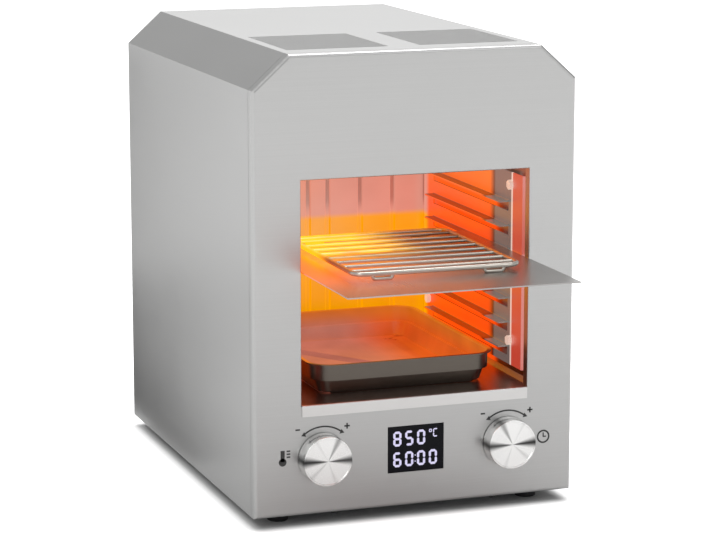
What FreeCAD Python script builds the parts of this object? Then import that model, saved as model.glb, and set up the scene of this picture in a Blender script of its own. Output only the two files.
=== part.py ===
"""Indoor steak grill: an upright sheet-steel casing round a hot cavity with side racks.

Millimetres. X runs across the front, Y into the depth and Z up. While the pieces are built,
Y = 0 is the face of the front panel and Z = 0 the lower edge of the casing. save() then moves
each piece so that the finished model stands on Z = 0 with its box centred on X and Y.
"""
import FreeCAD, Part
import math
import os
from FreeCAD import Vector

os.makedirs("parts", exist_ok=True)

# Casing
case_width = 270.0
case_height = 365.0
case_depth = 363.0
chamfer_width = 30.0
chamfer_height = 27.0
casing_sheet = 1.2
panel_bend = 3.0
panel_rim_depth = 8.7
seam_gap = 0.4
panel_lip_depth = 12.0
shell_floor_flange = 17.0
shell_rear_flange = 14.0

# Feet
foot_height = 9.5
foot_radius = 9.5
foot_taper = 1.0
foot_from_side = 28.0
foot_from_front = 28.0
foot_from_back = 32.0

# Opening in the front panel
opening_side_gap = 5.8
opening_bottom = 89.0
opening_top_gap = 9.0
return_depth = 8.0
opening_edge_round = 1.0

# Cavity and its liner
liner_sheet = 1.0
cavity_width = 203.0
cavity_height = 187.0
cavity_depth = 240.0
liner_bend = 4.0
mouth_flange = 10.0
floor_lip_drop = 9.2
floor_lip_side_gap = 0.2
back_rib_places = (9.0, 39.0, 69.0)
back_rib_width = 5.0
back_rib_depth = 2.0
back_rib_bottom_gap = 11.0
back_rib_top_gap = 14.0

# Side racks
rack_sheet = 1.2
rack_gap = 3.8
rack_front = 14.0
rack_back_gap = 4.0
rack_bottom = 99.0
rack_top_gap = 18.0
ledge_first = 114.0
ledge_pitch = 20.0
ledge_count = 7
ledge_reach = 8.0
ledge_front = 44.0
ledge_from_back = 24.0
ledge_bend = 1.0
window_drop = 8.8
rack_screw_front = 24.0
rack_screw_back = 16.0
rack_screw_high = 10.0
rack_screw_low = 20.5
round_flats = ((2.6, 6), (12, 12), (math.inf, 24))
head_flats = 6
wire_flats = 6
moulded_edge = 1.0
foot_flats = 12
knob_flats = 30
bore_flats = 12
bend_steps = 3
corner_steps = 3
rack_screw_radius = 2.0

# Food tray, grate and drip pan
tray_side_gap = 7.15
tray_back_gap = 5.0
tray_sheet = 1.0
tray_out = 105.0
tray_ledge_count = 4
grate_side_gap = 24.3
grate_from_tray_back = 15.0
grate_from_tray_front = 55.0
grate_frame_radius = 2.0
grate_bar_radius = 1.5
grate_bar_pitch = 19.0
grate_corner = 10.0
grate_height = 5.5
grate_leg_inset = 12.0
grate_leg_span = 16.0
wire_shortest_run = 0.01
grate_leg_bend = 2.2
pan_side_gap = 22.5
pan_back_gap = 15.0
pan_height = 25.4
pan_sheet = 1.0
pan_from_front = 20.0
pan_corner = 20.0
pan_rim = 3.0
pan_step_height = 11.6
pan_step_inset = 3.0
pan_foot_inset = 5.0

# Heater above the cavity
heater_rim = 16.5
heater_front = 28.0
heater_from_back = 24.0
heater_plate_margin = 6.0
heater_plate_thickness = 14.0
heater_board_thickness = 23.0
heater_groove_depth = 10.0
heater_groove_width = 8.0
heater_turn_room = 28.0
heater_cover_sheet = 1.0
heater_cover_gap = 2.0
heater_cover_flange = 7.0
element_radius = 3.0
element_runs = 8
element_pitch = 21.0
element_tail = 22.0
bush_radius = 5.5
bush_clearance = 0.2
bush_length = 6.0
guard_wire_radius = 1.5
guard_pitch = 20.0
guard_wires = 9
guard_overlap = 8.0

probe_radius = 2.0
probe_x = 70.0
probe_drop = 8.0
probe_reach = 40.0
gland_size = 10.0
gland_length = 8.0
cutout_radius = 8.0
cutout_height = 6.0

# Insulation and heat shield
insulation_thickness = 15.0
insulation_margin = 4.0
nut_pocket_radius = 6.5
nut_pocket_depth = 6.2
shield_sheet = 0.8
shield_drop = 8.0
shield_width = 220.0
shield_front = 17.0
shield_from_back = 19.0
bracket_sheet = 1.5
bracket_width = 20.0
bracket_flange = 16.0
bracket_inset = 4.0

# Controls
knob_spread = 156.5
knob_height = 45.5
knob_radius = 20.5
knob_taper = 0.8
knob_face = 13.5
knob_gap = 0.8
knob_edge = 0.9
knob_recess_radius = 8.5
knob_recess_depth = 4.5
knob_wall = 2.5
shaft_radius = 3.0
encoder_floor = 2.4
shaft_end_gap = 0.1
shaft_clearance = 0.15
encoder_side = 12.5
encoder_depth = 6.5
bushing_radius = 3.8
bushing_hole_gap = 0.1
bushing_reach = 3.6
encoder_nut_size = 10.0
encoder_nut_height = 2.2
display_width = 47.7
display_height = 38.0
display_bottom = 27.5
window_proud = 0.5
window_gap = 0.1
window_flange = 3.0
window_flange_sheet = 1.5
display_module_inset = 2.0
board_sheet = 1.6
control_board_width = 200.0
control_board_height = 45.0
control_board_back = 12.0
board_post_radius = 2.5
board_post_inset = 5.5

# Power electronics on the base plate
power_board_width = 110.0
power_board_length = 90.0
power_board_x = -20.0
power_board_front = 110.0
power_board_lift = 8.0
relay_size = (20.0, 28.0, 16.0)
transformer_size = (38.0, 34.0, 30.0)
terminal_size = (46.0, 14.0, 14.0)

# Cooling fan on the rear panel
fan_side = 70.0
fan_depth = 20.0
fan_x = -60.0
fan_height = 51.0
fan_corner = 4.0
fan_duct_radius = 32.5
fan_hub_radius = 14.0
fan_tip_gap = 1.0
fan_blades = 7
fan_blade_sheet = 1.2
fan_blade_pitch = 35.0
fan_screw_spacing = 60.0
fan_shaft_radius = 1.5
fan_strut_sheet = 3.0
fan_cup_wall = 1.5
fan_running_gap = 0.5
fan_boss_radius = 4.0

# Mains inlet on the rear panel
inlet_x = 80.0
inlet_height = 30.0
inlet_flange_width = 50.0
inlet_flange_height = 22.5
inlet_flange_sheet = 3.0
inlet_body_width = 27.0
inlet_body_height = 19.8
inlet_body_depth = 20.0
inlet_socket_width = 24.0
inlet_socket_height = 16.4
inlet_socket_depth = 17.0
inlet_screw_spacing = 40.0
inlet_pin = (2.0, 4.0)
inlet_pin_length = 13.0
inlet_pin_spacing = 7.0
inlet_pin_offset = 2.0

# Vents
vent_slot_width = 3.0
vent_slot_length = 84.0
vent_slot_pitch = 6.0
vent_slot_count = 17
vent_from_front = 30.0
vent_from_middle = 13.0
rear_vent_slot = (4.0, 34.0)
rear_vent_pitch = 9.0
rear_vent_count = 19
rear_vent_bottom = 288.0
intake_slot = (4.0, 60.0)
intake_pitch = 10.0
intake_count = 9
fan_grille_slot = 4.0
fan_grille_pitch = 8.0

# Fasteners
screw_radius = 1.5
screw_head_radius = 2.6
screw_head_height = 1.8
screw_length = 6.0
screw_hole_gap = 0.05
foot_screw_radius = 2.0
foot_recess_radius = 4.5
foot_recess_depth = 4.0
nut_height = 3.2
nut_size = 7.0

# Places that follow from the sizes above
half_case = case_width / 2
shell_front = panel_rim_depth + seam_gap
rear_face = case_depth - casing_sheet
base_top = 2 * casing_sheet
half_cavity = cavity_width / 2
cavity_floor = opening_bottom
cavity_ceiling = cavity_floor + cavity_height
half_opening = half_cavity - opening_side_gap
opening_top = cavity_ceiling - opening_top_gap
liner_half = half_cavity + liner_sheet
liner_back = cavity_depth + liner_sheet
liner_underside = cavity_floor - liner_sheet
liner_top = cavity_ceiling + liner_sheet
rib_back = liner_back + back_rib_depth
rack_outer = half_cavity - rack_gap
rack_inner = rack_outer - rack_sheet
rack_back = cavity_depth - rack_back_gap
rack_top = cavity_ceiling - rack_top_gap
ledge_length = rack_back - ledge_from_back - ledge_front
ledge_levels = [ledge_first + ledge_pitch * n for n in range(ledge_count)]
rack_screw_ys = (rack_front + rack_screw_front, rack_back - rack_screw_back)
rack_screw_zs = (rack_bottom + rack_screw_low, rack_top - rack_screw_high)
tray_length = cavity_depth - tray_back_gap
tray_width = cavity_width - 2 * tray_side_gap
tray_bottom = ledge_levels[tray_ledge_count]
tray_top = tray_bottom + tray_sheet
grate_front = grate_from_tray_front - tray_out
grate_centre_z = tray_top + grate_height
grate_length = tray_length - grate_from_tray_front - grate_from_tray_back
grate_width = tray_width - 2 * grate_side_gap
pan_width = cavity_width - 2 * pan_side_gap
pan_length = cavity_depth - pan_back_gap - pan_from_front
heater_half = half_cavity - heater_rim
heater_back = cavity_depth - heater_from_back
heater_opening_length = heater_back - heater_front
heater_plate_top = liner_top + heater_plate_thickness
heater_cover_half = heater_half + heater_plate_margin + heater_cover_gap + heater_cover_sheet
heater_cover_front = heater_front - heater_plate_margin - heater_cover_gap - heater_cover_sheet
heater_cover_back = heater_back + heater_plate_margin + heater_cover_gap + heater_cover_sheet
heater_cover_top = heater_plate_top + heater_board_thickness + heater_cover_sheet
element_z = liner_top + heater_groove_depth - element_radius
probe_z = cavity_ceiling - probe_drop
shield_top = liner_underside - shield_drop
shield_length = cavity_depth - shield_from_back - shield_front
knob_xs = (-knob_spread / 2, knob_spread / 2)
control_board_face = casing_sheet + control_board_back
control_board_bottom = display_bottom + (display_height - control_board_height) / 2
encoder_face = control_board_face - encoder_depth
knob_back = -knob_gap
fan_front = rear_face - fan_depth
foot_xs = (foot_from_side - half_case, half_case - foot_from_side)
foot_ys = (foot_from_front, case_depth - foot_from_back)
inlet_face = case_depth + inlet_flange_sheet
rear_most = inlet_face + screw_head_height
centre_y = (rear_most - tray_out) / 2


def save(name, *solids):
    """Move the solids to the model's own origin and write them as one STEP file."""
    shape = solids[0] if len(solids) == 1 else Part.makeCompound(list(solids))
    shape = shape.copy()
    shape.translate(Vector(0, -centre_y, foot_height))
    shape.exportStep("parts/" + name + ".step")


def block(x, y, z):
    """A box from three (low, high) pairs."""
    corner = Vector(x[0], y[0], z[0])
    return Part.makeBox(x[1] - x[0], y[1] - y[0], z[1] - z[0], corner)


def turned(radius, start, end):
    """A true cylinder, for a spindle that turns."""
    run = end.sub(start)
    return Part.makeCylinder(radius, run.Length, start, run)


def skinned(low, high):
    """A solid between two flat rings of as many points, with flat faces all round."""
    rings = [list(low), list(high)]
    faces = [Part.Face(Part.makePolygon(ring + ring[:1])) for ring in rings]
    for n, corner in enumerate(rings[0]):
        after = (n + 1) % len(rings[0])
        side = [corner, rings[0][after], rings[1][after], rings[1][n], corner]
        faces.append(Part.Face(Part.makePolygon(side)))
    solid = Part.Solid(Part.Shell(faces))
    if solid.Volume < 0:
        solid.reverse()
    return solid


def flat_sided(radius, start, end, flats, end_radius=None):
    """A round bar drawn with flats, straight or tapered to end_radius."""
    run = end.sub(start)
    rings = []
    for reach, height in ((radius, 0), (end_radius or radius, run.Length)):
        turns = [math.tau * (n + 0.5) / flats for n in range(flats)]
        rings.append([Vector(reach * math.cos(a), reach * math.sin(a), height) for a in turns])
    bar = skinned(*rings)
    bar.Placement = FreeCAD.Placement(start, FreeCAD.Rotation(Vector(0, 0, 1), run))
    return bar


def rod(radius, start, end):
    """A round bar or hole, with more flats the larger it is."""
    flats = [count for size, count in round_flats if radius < size][0]
    return flat_sided(radius, start, end, flats)


def tube(outer, inner, start, end):
    """A round tube between two points."""
    return rod(outer, start, end).cut(rod(inner, start, end))


def prism(points, y):
    """A solid with an outline of (x, z) points, from one depth to another."""
    corners = [Vector(x, y[0], z) for x, z in points]
    face = Part.Face(Part.makePolygon(corners + corners[:1]))
    return face.extrude(Vector(0, y[1] - y[0], 0))


def hexagon(size, start, end):
    """A hexagonal bar, size across its flats, between two points."""
    run = end.sub(start)
    corners = []
    for n in range(6):
        angle = math.radians(60 * n)
        reach = size / math.sqrt(3)
        corners.append(Vector(reach * math.cos(angle), reach * math.sin(angle), 0))
    bar = Part.Face(Part.makePolygon(corners + corners[:1])).extrude(Vector(0, 0, run.Length))
    bar.Placement = FreeCAD.Placement(start, FreeCAD.Rotation(Vector(0, 0, 1), run))
    return bar


def mirrored(shape):
    """The same piece for the other side of the casing."""
    return shape.mirror(Vector(0, 0, 0), Vector(1, 0, 0))


def edges_at(shape, test):
    """The edges whose ends all pass a test."""
    return [edge for edge in shape.Edges if all(test(v.Point) for v in edge.Vertexes)]


def near(a, b):
    return abs(a - b) < 0.001


def rounded_rectangle(width, length, radius, centre, z):
    """Points of a level outline centred on (x, y), its round corners drawn with short runs."""
    points = []
    for n in range(4 * (corner_steps + 1)):
        corner, step = divmod(n, corner_steps + 1)
        angle = math.pi / 2 * (corner + step / corner_steps)
        side_x = 1 if corner in (0, 3) else -1
        side_y = 1 if corner in (0, 1) else -1
        points.append(Vector(centre[0] + side_x * (width / 2 - radius) + radius * math.cos(angle),
                             centre[1] + side_y * (length / 2 - radius) + radius * math.sin(angle), z))
    return points


def casing_outline(inset):
    """The casing seen from the front, drawn inside its edge by inset."""
    half = half_case - inset
    lean = math.atan2(chamfer_width, chamfer_height)
    shoulder = case_height - chamfer_height - inset * math.tan(lean / 2)
    flat = half_case - chamfer_width - inset * math.tan((math.pi / 2 - lean) / 2)
    top = case_height - inset
    return [(-half, inset), (half, inset), (half, shoulder), (flat, top), (-flat, top), (-half, shoulder)]


def casing_ring(outer, inner, y):
    """A band that follows the casing's outline between two insets."""
    low, high = y
    return prism(casing_outline(outer), y).cut(prism(casing_outline(inner), (low - 1, high + 1)))


def screw(tip, head_seat, radius=screw_radius, head_radius=screw_head_radius):
    """A pan-head screw whose head sits at head_seat and whose shank ends at tip."""
    back = head_seat.sub(tip).normalize()
    top = head_seat.add(back * screw_head_height)
    head = flat_sided(head_radius, head_seat, top, head_flats, head_radius * 0.8)
    return rod(radius, tip, head_seat).fuse(head).removeSplitter()


# Casing

def front_panel():
    """The front: a shallow pan with rolled edges and a stepped lip that the shell slides over."""
    rim = prism(casing_outline(0), (0, panel_rim_depth))
    rim = rim.makeFillet(panel_bend, edges_at(rim, lambda p: near(p.y, 0)))
    hollow = prism(casing_outline(casing_sheet), (casing_sheet, panel_rim_depth + 1))
    hollow = hollow.makeChamfer(panel_bend - casing_sheet,
                                edges_at(hollow, lambda p: near(p.y, casing_sheet)))
    lip_y = (panel_rim_depth - 2 * casing_sheet, panel_rim_depth + panel_lip_depth)
    lip = casing_ring(casing_sheet, 2 * casing_sheet, lip_y)
    foot_room = block((-half_case, half_case), (0, lip_y[1] + 1), (0, base_top + seam_gap))
    frame = block((-half_opening - casing_sheet, half_opening + casing_sheet), (0, return_depth),
                  (cavity_floor, opening_top + casing_sheet))
    panel = rim.cut(hollow).fuse([lip.cut(foot_room), frame])
    mouth = block((-half_opening, half_opening), (-1, return_depth + 1), (liner_underside, opening_top))
    panel = panel.cut(mouth).removeSplitter()
    mouth_edges = edges_at(panel, lambda p: near(p.y, 0) and abs(p.x) < half_opening + 1
                           and liner_underside - 1 < p.z < opening_top + 1
                           and (near(abs(p.x), half_opening) or near(p.z, opening_top)))
    sides = [e for e in mouth_edges if not near(e.CenterOfMass.z, liner_underside)]
    panel = panel.makeFillet(opening_edge_round, sides)
    cuts = [block((-display_width / 2, display_width / 2), (-1, casing_sheet + 1),
                  (display_bottom, display_bottom + display_height))]
    for x in knob_xs:
        cuts.append(rod(bushing_radius + bushing_hole_gap, Vector(x, -1, knob_height),
                        Vector(x, casing_sheet + 1, knob_height)))
    cuts += [rod(screw_radius + screw_hole_gap, place.add(Vector(0, 0, -1)),
                 place.add(Vector(0, 0, base_top))) for place in front_screw_places()]
    return panel.cut(cuts)


def front_screw_places():
    """Screws that hold the base plate to the front panel's lower rim."""
    y = (panel_bend + panel_rim_depth) / 2
    return [Vector(side * half_case / 2, y, 0) for side in (-1, 1)]


def side_screw_places():
    """Screws that hold the base plate to the shell's lower flanges."""
    x = half_case - shell_floor_flange / 2
    gap = (foot_ys[1] - foot_ys[0]) / 3
    return [Vector(side * x, foot_ys[0] + gap * n, 0) for side in (-1, 1) for n in (1, 2)]


def rear_screw_places():
    """Screws round the rear panel, in the middle of the shell's rear flange."""
    edge = half_case - (casing_sheet + shell_rear_flange) / 2
    low = (casing_sheet + shell_rear_flange) / 2
    side_z = [case_height * share for share in (0.12, 0.48, 0.84)]
    places = [Vector(side * edge, rear_face, z) for side in (-1, 1) for z in side_z]
    for z in (low, case_height - low):
        places += [Vector(side * half_case / 2, rear_face, z) for side in (-1, 1)]
    return places


def outer_shell():
    """One folded sheet: sides, chamfers and top, with flanges at the floor and the back."""
    span = (shell_front, rear_face)
    shell = casing_ring(0, casing_sheet, span)
    inner_x = half_case - shell_floor_flange
    floor_opening = block((-inner_x, inner_x), (span[0] - 1, rear_face - casing_sheet), (-1, casing_sheet + 1))
    flange = casing_ring(casing_sheet, shell_rear_flange, (rear_face - casing_sheet, rear_face))
    shell = shell.cut(floor_opening).fuse(flange)
    cuts = []
    for side in (-1, 1):
        xs = sorted((side * vent_from_middle, side * (vent_from_middle + vent_slot_length)))
        for n in range(vent_slot_count):
            y = vent_from_front + vent_slot_pitch * n
            cuts.append(block(xs, (y, y + vent_slot_width), (case_height - base_top, case_height + casing_sheet)))
    hole = screw_radius + screw_hole_gap
    cuts += [rod(hole, p.add(Vector(0, 0, -1)), p.add(Vector(0, 0, base_top))) for p in side_screw_places()]
    cuts += [rod(hole, p.add(Vector(0, -casing_sheet - 1, 0)), p.add(Vector(0, 1, 0)))
             for p in rear_screw_places()]
    return shell.cut(cuts).removeSplitter()


def rear_panel():
    """A flat cover with warm-air slots above, a fan grille and the inlet's cut-out below."""
    span = (rear_face, case_depth)
    past = (rear_face - 1, case_depth + 1)
    panel = prism(casing_outline(0), span)
    cuts = []
    slot_width, slot_height = rear_vent_slot
    for n in range(rear_vent_count):
        x = rear_vent_pitch * (n - (rear_vent_count - 1) / 2)
        cuts.append(block((x - slot_width / 2, x + slot_width / 2), past,
                          (rear_vent_bottom, rear_vent_bottom + slot_height)))
    reach = fan_duct_radius - fan_grille_slot / 2
    half_count = int(reach // fan_grille_pitch)
    for n in range(-half_count, half_count + 1):
        x = n * fan_grille_pitch
        half_slot = math.sqrt(reach ** 2 - x ** 2)
        cuts.append(block((fan_x + x - fan_grille_slot / 2, fan_x + x + fan_grille_slot / 2), past,
                          (fan_height - half_slot, fan_height + half_slot)))
    cuts.append(block((inlet_x - inlet_body_width / 2, inlet_x + inlet_body_width / 2), past,
                      (inlet_height - inlet_body_height / 2, inlet_height + inlet_body_height / 2)))
    hole = screw_radius + screw_hole_gap
    places = rear_screw_places() + fan_screw_places() + inlet_screw_places()
    cuts += [rod(hole, Vector(p.x, past[0], p.z), Vector(p.x, past[1], p.z)) for p in places]
    return panel.cut(cuts)


def base_plate():
    """The floor of the casing, which carries the feet and the power board."""
    edge = half_case - casing_sheet - seam_gap
    plate = block((-edge, edge), (panel_bend, rear_face - casing_sheet), (casing_sheet, base_top))
    past = (casing_sheet - 1, base_top + 1)
    slot_width, slot_length = intake_slot
    cuts = []
    for n in range(intake_count):
        x = power_board_x + intake_pitch * (n - (intake_count - 1) / 2)
        y = power_board_front + (power_board_length - slot_length) / 2
        cuts.append(block((x - slot_width / 2, x + slot_width / 2), (y, y + slot_length), past))
    for p in front_screw_places() + side_screw_places():
        cuts.append(rod(screw_radius + screw_hole_gap, Vector(p.x, p.y, past[0]), Vector(p.x, p.y, past[1])))
    for p in foot_places():
        cuts.append(rod(foot_screw_radius + screw_hole_gap, Vector(p.x, p.y, past[0]),
                        Vector(p.x, p.y, past[1])))
    return plate.cut(cuts)


# Feet

def foot_places():
    return [Vector(x, y, -foot_height) for x in foot_xs for y in foot_ys]


def foot(place):
    """A turned rubber foot, a little narrower below, with a recess for its screw."""
    seat = Vector(place.x, place.y, casing_sheet)
    edge = place.add(Vector(0, 0, foot_taper))
    body = flat_sided(foot_radius - foot_taper, edge, seat, foot_flats, foot_radius)
    tread = flat_sided(foot_radius - 2 * foot_taper, place, edge, foot_flats, foot_radius - foot_taper)
    body = body.fuse(tread)
    recess = rod(foot_recess_radius, place.add(Vector(0, 0, -1)), place.add(Vector(0, 0, foot_recess_depth)))
    hole = rod(foot_screw_radius + screw_hole_gap, place, seat.add(Vector(0, 0, 1)))
    return body.cut([recess, hole])


def foot_screw(place):
    seat = place.add(Vector(0, 0, foot_recess_depth))
    tip = Vector(place.x, place.y, base_top + nut_height + 1)
    return screw(tip, seat, foot_screw_radius, foot_recess_radius - 1)


def nut(size, hole, start, end):
    """A hexagon nut between two points on its screw."""
    return hexagon(size, start, end).cut(rod(hole, start, end))


def foot_nut(place):
    low = Vector(place.x, place.y, base_top)
    return nut(nut_size, foot_screw_radius + screw_hole_gap, low, low.add(Vector(0, 0, nut_height)))


# Cavity

def liner_block(inset, y):
    """The cavity's outline from front to back with its long and rear edges bent in a narrow flat."""
    half = liner_half - inset
    body = block((-half, half), y, (liner_underside + inset, liner_top - inset))
    long_edges = [e for e in body.Edges if near(e.Length, y[1] - y[0])]
    back_edges = edges_at(body, lambda p: near(p.y, y[1]))
    return body.makeChamfer(liner_bend - inset / 2, long_edges + back_edges)


def back_rib(x, inset):
    """A shallow upright rib pressed backwards into the back wall."""
    top = back_rib_width / 2
    foot_half = top - back_rib_depth / 2
    depth = cavity_depth + back_rib_depth + liner_sheet - inset
    wide = liner_sheet - inset
    z = (cavity_floor + back_rib_bottom_gap - wide, cavity_ceiling - back_rib_top_gap + wide)
    corners = [Vector(x + s * (w + wide), y, z[0]) for s, w, y in
               ((-1, top, cavity_depth), (1, top, cavity_depth), (1, foot_half, depth), (-1, foot_half, depth))]
    face = Part.Face(Part.makePolygon(corners + corners[:1]))
    return face.extrude(Vector(0, 0, z[1] - z[0]))


def cavity_liner():
    """The hot box: a folded sheet open to the front, its floor turned down over the panel."""
    body = liner_block(0, (casing_sheet, liner_back))
    hollow = liner_block(liner_sheet, (casing_sheet - liner_bend * 2, cavity_depth))
    flange = block((-liner_half - mouth_flange, liner_half + mouth_flange),
                   (casing_sheet, casing_sheet + liner_sheet),
                   (liner_underside, liner_top + mouth_flange))
    floor_front = half_opening - floor_lip_side_gap
    tongue = block((-floor_front, floor_front), (-liner_sheet, casing_sheet + liner_bend),
                   (liner_underside, cavity_floor))
    lip = block((-floor_front, floor_front), (-liner_sheet, 0), (cavity_floor - floor_lip_drop, cavity_floor))
    rib_xs = [side * x for side in (-1, 1) for x in back_rib_places]
    ribs = [back_rib(x, 0) for x in rib_xs]
    liner = body.fuse([flange] + ribs).cut([hollow] + [back_rib(x, liner_sheet) for x in rib_xs])
    liner = liner.fuse([tongue, lip])
    bend = edges_at(liner, lambda p: near(p.y, -liner_sheet) and near(p.z, cavity_floor))
    liner = liner.makeFillet(liner_sheet * 0.9, bend)
    cuts = [block((-heater_half, heater_half), (heater_front, heater_back),
                  (cavity_ceiling - 1, liner_top + 1))]
    for p in heater_screw_places():
        cuts.append(rod(screw_radius + screw_hole_gap, p.add(Vector(0, 0, -screw_length)), p))
    for y in rack_screw_ys:
        for z in rack_screw_zs:
            cuts.append(rod(rack_screw_radius + screw_hole_gap, Vector(-liner_half - 1, y, z),
                            Vector(liner_half + 1, y, z)))
    cuts.append(rod(probe_radius + screw_hole_gap, Vector(probe_x, cavity_depth - 1, probe_z),
                    Vector(probe_x, liner_back + 1, probe_z)))
    return liner.cut(cuts).removeSplitter()


# Side racks

def rack_plate():
    """The upright plate with its front and rear edges turned outwards to the cavity wall."""
    x = (rack_inner, half_cavity)
    z = (rack_bottom, rack_top)
    body = block(x, (rack_front, rack_back), z)
    corners = edges_at(body, lambda p: near(p.x, rack_inner))
    uprights = [e for e in corners if near(e.Length, rack_top - rack_bottom)]
    body = body.makeChamfer(rack_sheet * 1.5, uprights)
    inside = block((rack_outer, half_cavity + 1), (rack_front + rack_sheet, rack_back - rack_sheet),
                   (rack_bottom - 1, rack_top + 1))
    return body.cut(inside)


def ledge(level):
    """One runner: a tongue cut from the plate below it and bent up square, on a round bend."""
    bend_x = rack_inner - ledge_bend
    bend_z = level + ledge_bend
    tip = rack_inner - ledge_reach
    turns = [math.pi / 2 * n / bend_steps for n in range(bend_steps + 1)]
    inner, outer = [[(bend_x + radius * math.cos(turn), bend_z - radius * math.sin(turn)) for turn in turns]
                    for radius in (ledge_bend, ledge_bend + rack_sheet)]
    outline = inner + [(tip, level), (tip, level - rack_sheet)] + outer[::-1]
    return prism(outline, (ledge_front, ledge_front + ledge_length))


def side_rack():
    """The rack on the right: the plate, its punched windows and the ledges bent out of them."""
    windows = [block((rack_inner - 1, rack_outer + 1), (ledge_front, ledge_front + ledge_length),
                     (level - window_drop, level + ledge_bend)) for level in ledge_levels]
    holes = [rod(rack_screw_radius + screw_hole_gap, Vector(rack_inner - 1, y, z), Vector(rack_outer + 1, y, z))
             for y in rack_screw_ys for z in rack_screw_zs]
    plate = rack_plate().cut(windows + holes)
    return plate.fuse([ledge(level) for level in ledge_levels]).removeSplitter()


def rack_fixings():
    """Screws, spacers and nuts of the rack on the right."""
    screws, spacers, nuts = [], [], []
    hole = rack_screw_radius + screw_hole_gap
    for y in rack_screw_ys:
        for z in rack_screw_zs:
            tip = Vector(liner_half + nut_height + 1, y, z)
            seat = Vector(rack_inner, y, z)
            head = hexagon(nut_size, seat, seat.add(Vector(-nut_height, 0, 0)))
            screws.append(rod(rack_screw_radius, tip, seat).fuse(head))
            wall = Vector(liner_half, y, z)
            spacers.append(nut(nut_size, hole, Vector(rack_outer, y, z), Vector(half_cavity, y, z)))
            nuts.append(nut(nut_size, hole, wall, wall.add(Vector(nut_height, 0, 0))))
    return screws, spacers, nuts


# Tray, grate and drip pan

def food_tray():
    """A plain flat sheet with crisp corners that slides on one pair of ledges."""
    return block((-tray_width / 2, tray_width / 2), (-tray_out, tray_length - tray_out),
                 (tray_bottom, tray_top))


def bent_path(corners, bend):
    """Points of a wire bent to right angles: each inner corner is rounded with a few short runs."""
    points = [corners[0]]
    for before, corner, after in zip(corners, corners[1:], corners[2:]):
        way_in = corner.sub(before).normalize()
        way_out = after.sub(corner).normalize()
        centre = corner.add((way_out - way_in) * bend)
        for n in range(bend_steps + 1):
            angle = math.pi / 2 * n / bend_steps
            point = centre.add(way_in * (bend * math.sin(angle)) - way_out * (bend * math.cos(angle)))
            if point.sub(points[-1]).Length > wire_shortest_run:
                points.append(point)
    points.append(corners[-1])
    return points


def bent_wire(corners, bend, radius):
    """A round wire along a bent path."""
    points = bent_path(corners, bend)
    way = points[1].sub(points[0]).normalize()
    start = flat_sided(radius, points[0], points[0].add(way), wire_flats)
    ring = [face for face in start.Faces if near((face.CenterOfMass - points[0]).Length, 0)][0].OuterWire
    return Part.makePolygon(points).makePipeShell([ring], True, False, 1)


def grate_leg(x, y):
    """A wire staple under the grate: down, along the tray and up again."""
    low = tray_top + grate_bar_radius
    half = grate_leg_span / 2
    corners = [Vector(x - half, y, grate_centre_z), Vector(x - half, y, low),
               Vector(x + half, y, low), Vector(x + half, y, grate_centre_z)]
    return bent_wire(corners, grate_leg_bend, grate_bar_radius)


def grill_grate():
    """A welded wire grate: an oval-cornered frame, cross bars and four staple legs."""
    mid_y = grate_front + grate_length / 2
    width = grate_width - 2 * grate_frame_radius
    length = grate_length - 2 * grate_frame_radius
    half = width / 2
    ys = (mid_y - length / 2, mid_y + length / 2)
    halves = []
    for side in (-1, 1):
        corners = [Vector(0, ys[0], grate_centre_z), Vector(side * half, ys[0], grate_centre_z),
                   Vector(side * half, ys[1], grate_centre_z), Vector(0, ys[1], grate_centre_z)]
        halves.append(bent_wire(corners, grate_corner, grate_frame_radius))
    frame = halves[0].fuse(halves[1]).removeSplitter()
    bars = []
    count = int((length - 2 * grate_corner) // grate_bar_pitch) + 1
    first = mid_y - grate_bar_pitch * (count - 1) / 2
    for n in range(count):
        y = first + grate_bar_pitch * n
        bars.append(rod(grate_bar_radius, Vector(-half, y, grate_centre_z), Vector(half, y, grate_centre_z)))
    legs = [grate_leg(side * (half - grate_corner - grate_leg_inset), y)
            for side in (-1, 1) for y in ys]
    return frame.fuse(bars + legs)


def pan_shell(inset, bottom_z):
    """The drip pan's outside, or its inside when inset by the sheet."""
    mid = (0, pan_from_front + pan_length / 2)
    width = pan_width - 2 * pan_rim - 2 * inset
    length = pan_length - 2 * pan_rim - 2 * inset
    corner = pan_corner - pan_rim - inset
    step = cavity_floor + pan_step_height + inset
    top = cavity_floor + pan_height
    rings = [(pan_foot_inset + pan_step_inset, bottom_z), (pan_step_inset, step), (0, step), (0, top + inset)]
    solids = []
    for pair in (rings[:2], rings[2:]):
        solids.append(skinned(*[rounded_rectangle(width - 2 * cut, length - 2 * cut, corner - cut, mid, z)
                                for cut, z in pair]))
    return solids[0].fuse(solids[1])


def drip_pan():
    """A pressed pan with a shallow well, a stepped wall, round corners and a flat rim."""
    mid = (0, pan_from_front + pan_length / 2)
    top = cavity_floor + pan_height
    outside = pan_shell(0, cavity_floor)
    inside = pan_shell(pan_sheet, cavity_floor + pan_sheet)
    rim = skinned(*[rounded_rectangle(pan_width, pan_length, pan_corner, mid, z)
                    for z in (top - pan_sheet, top)])
    return outside.fuse(rim).cut(inside).removeSplitter()


# Heater

def heater_screw_places():
    """Screws that hold the heater's cover to the cavity's ceiling."""
    x = heater_cover_half + heater_cover_flange / 2
    return [Vector(side * x, heater_front + heater_opening_length * share, liner_top + heater_cover_sheet)
            for side in (-1, 1) for share in (0.05, 0.5, 0.95)]


def element_xs():
    return [element_pitch * (n - (element_runs - 1) / 2) for n in range(element_runs)]


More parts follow.
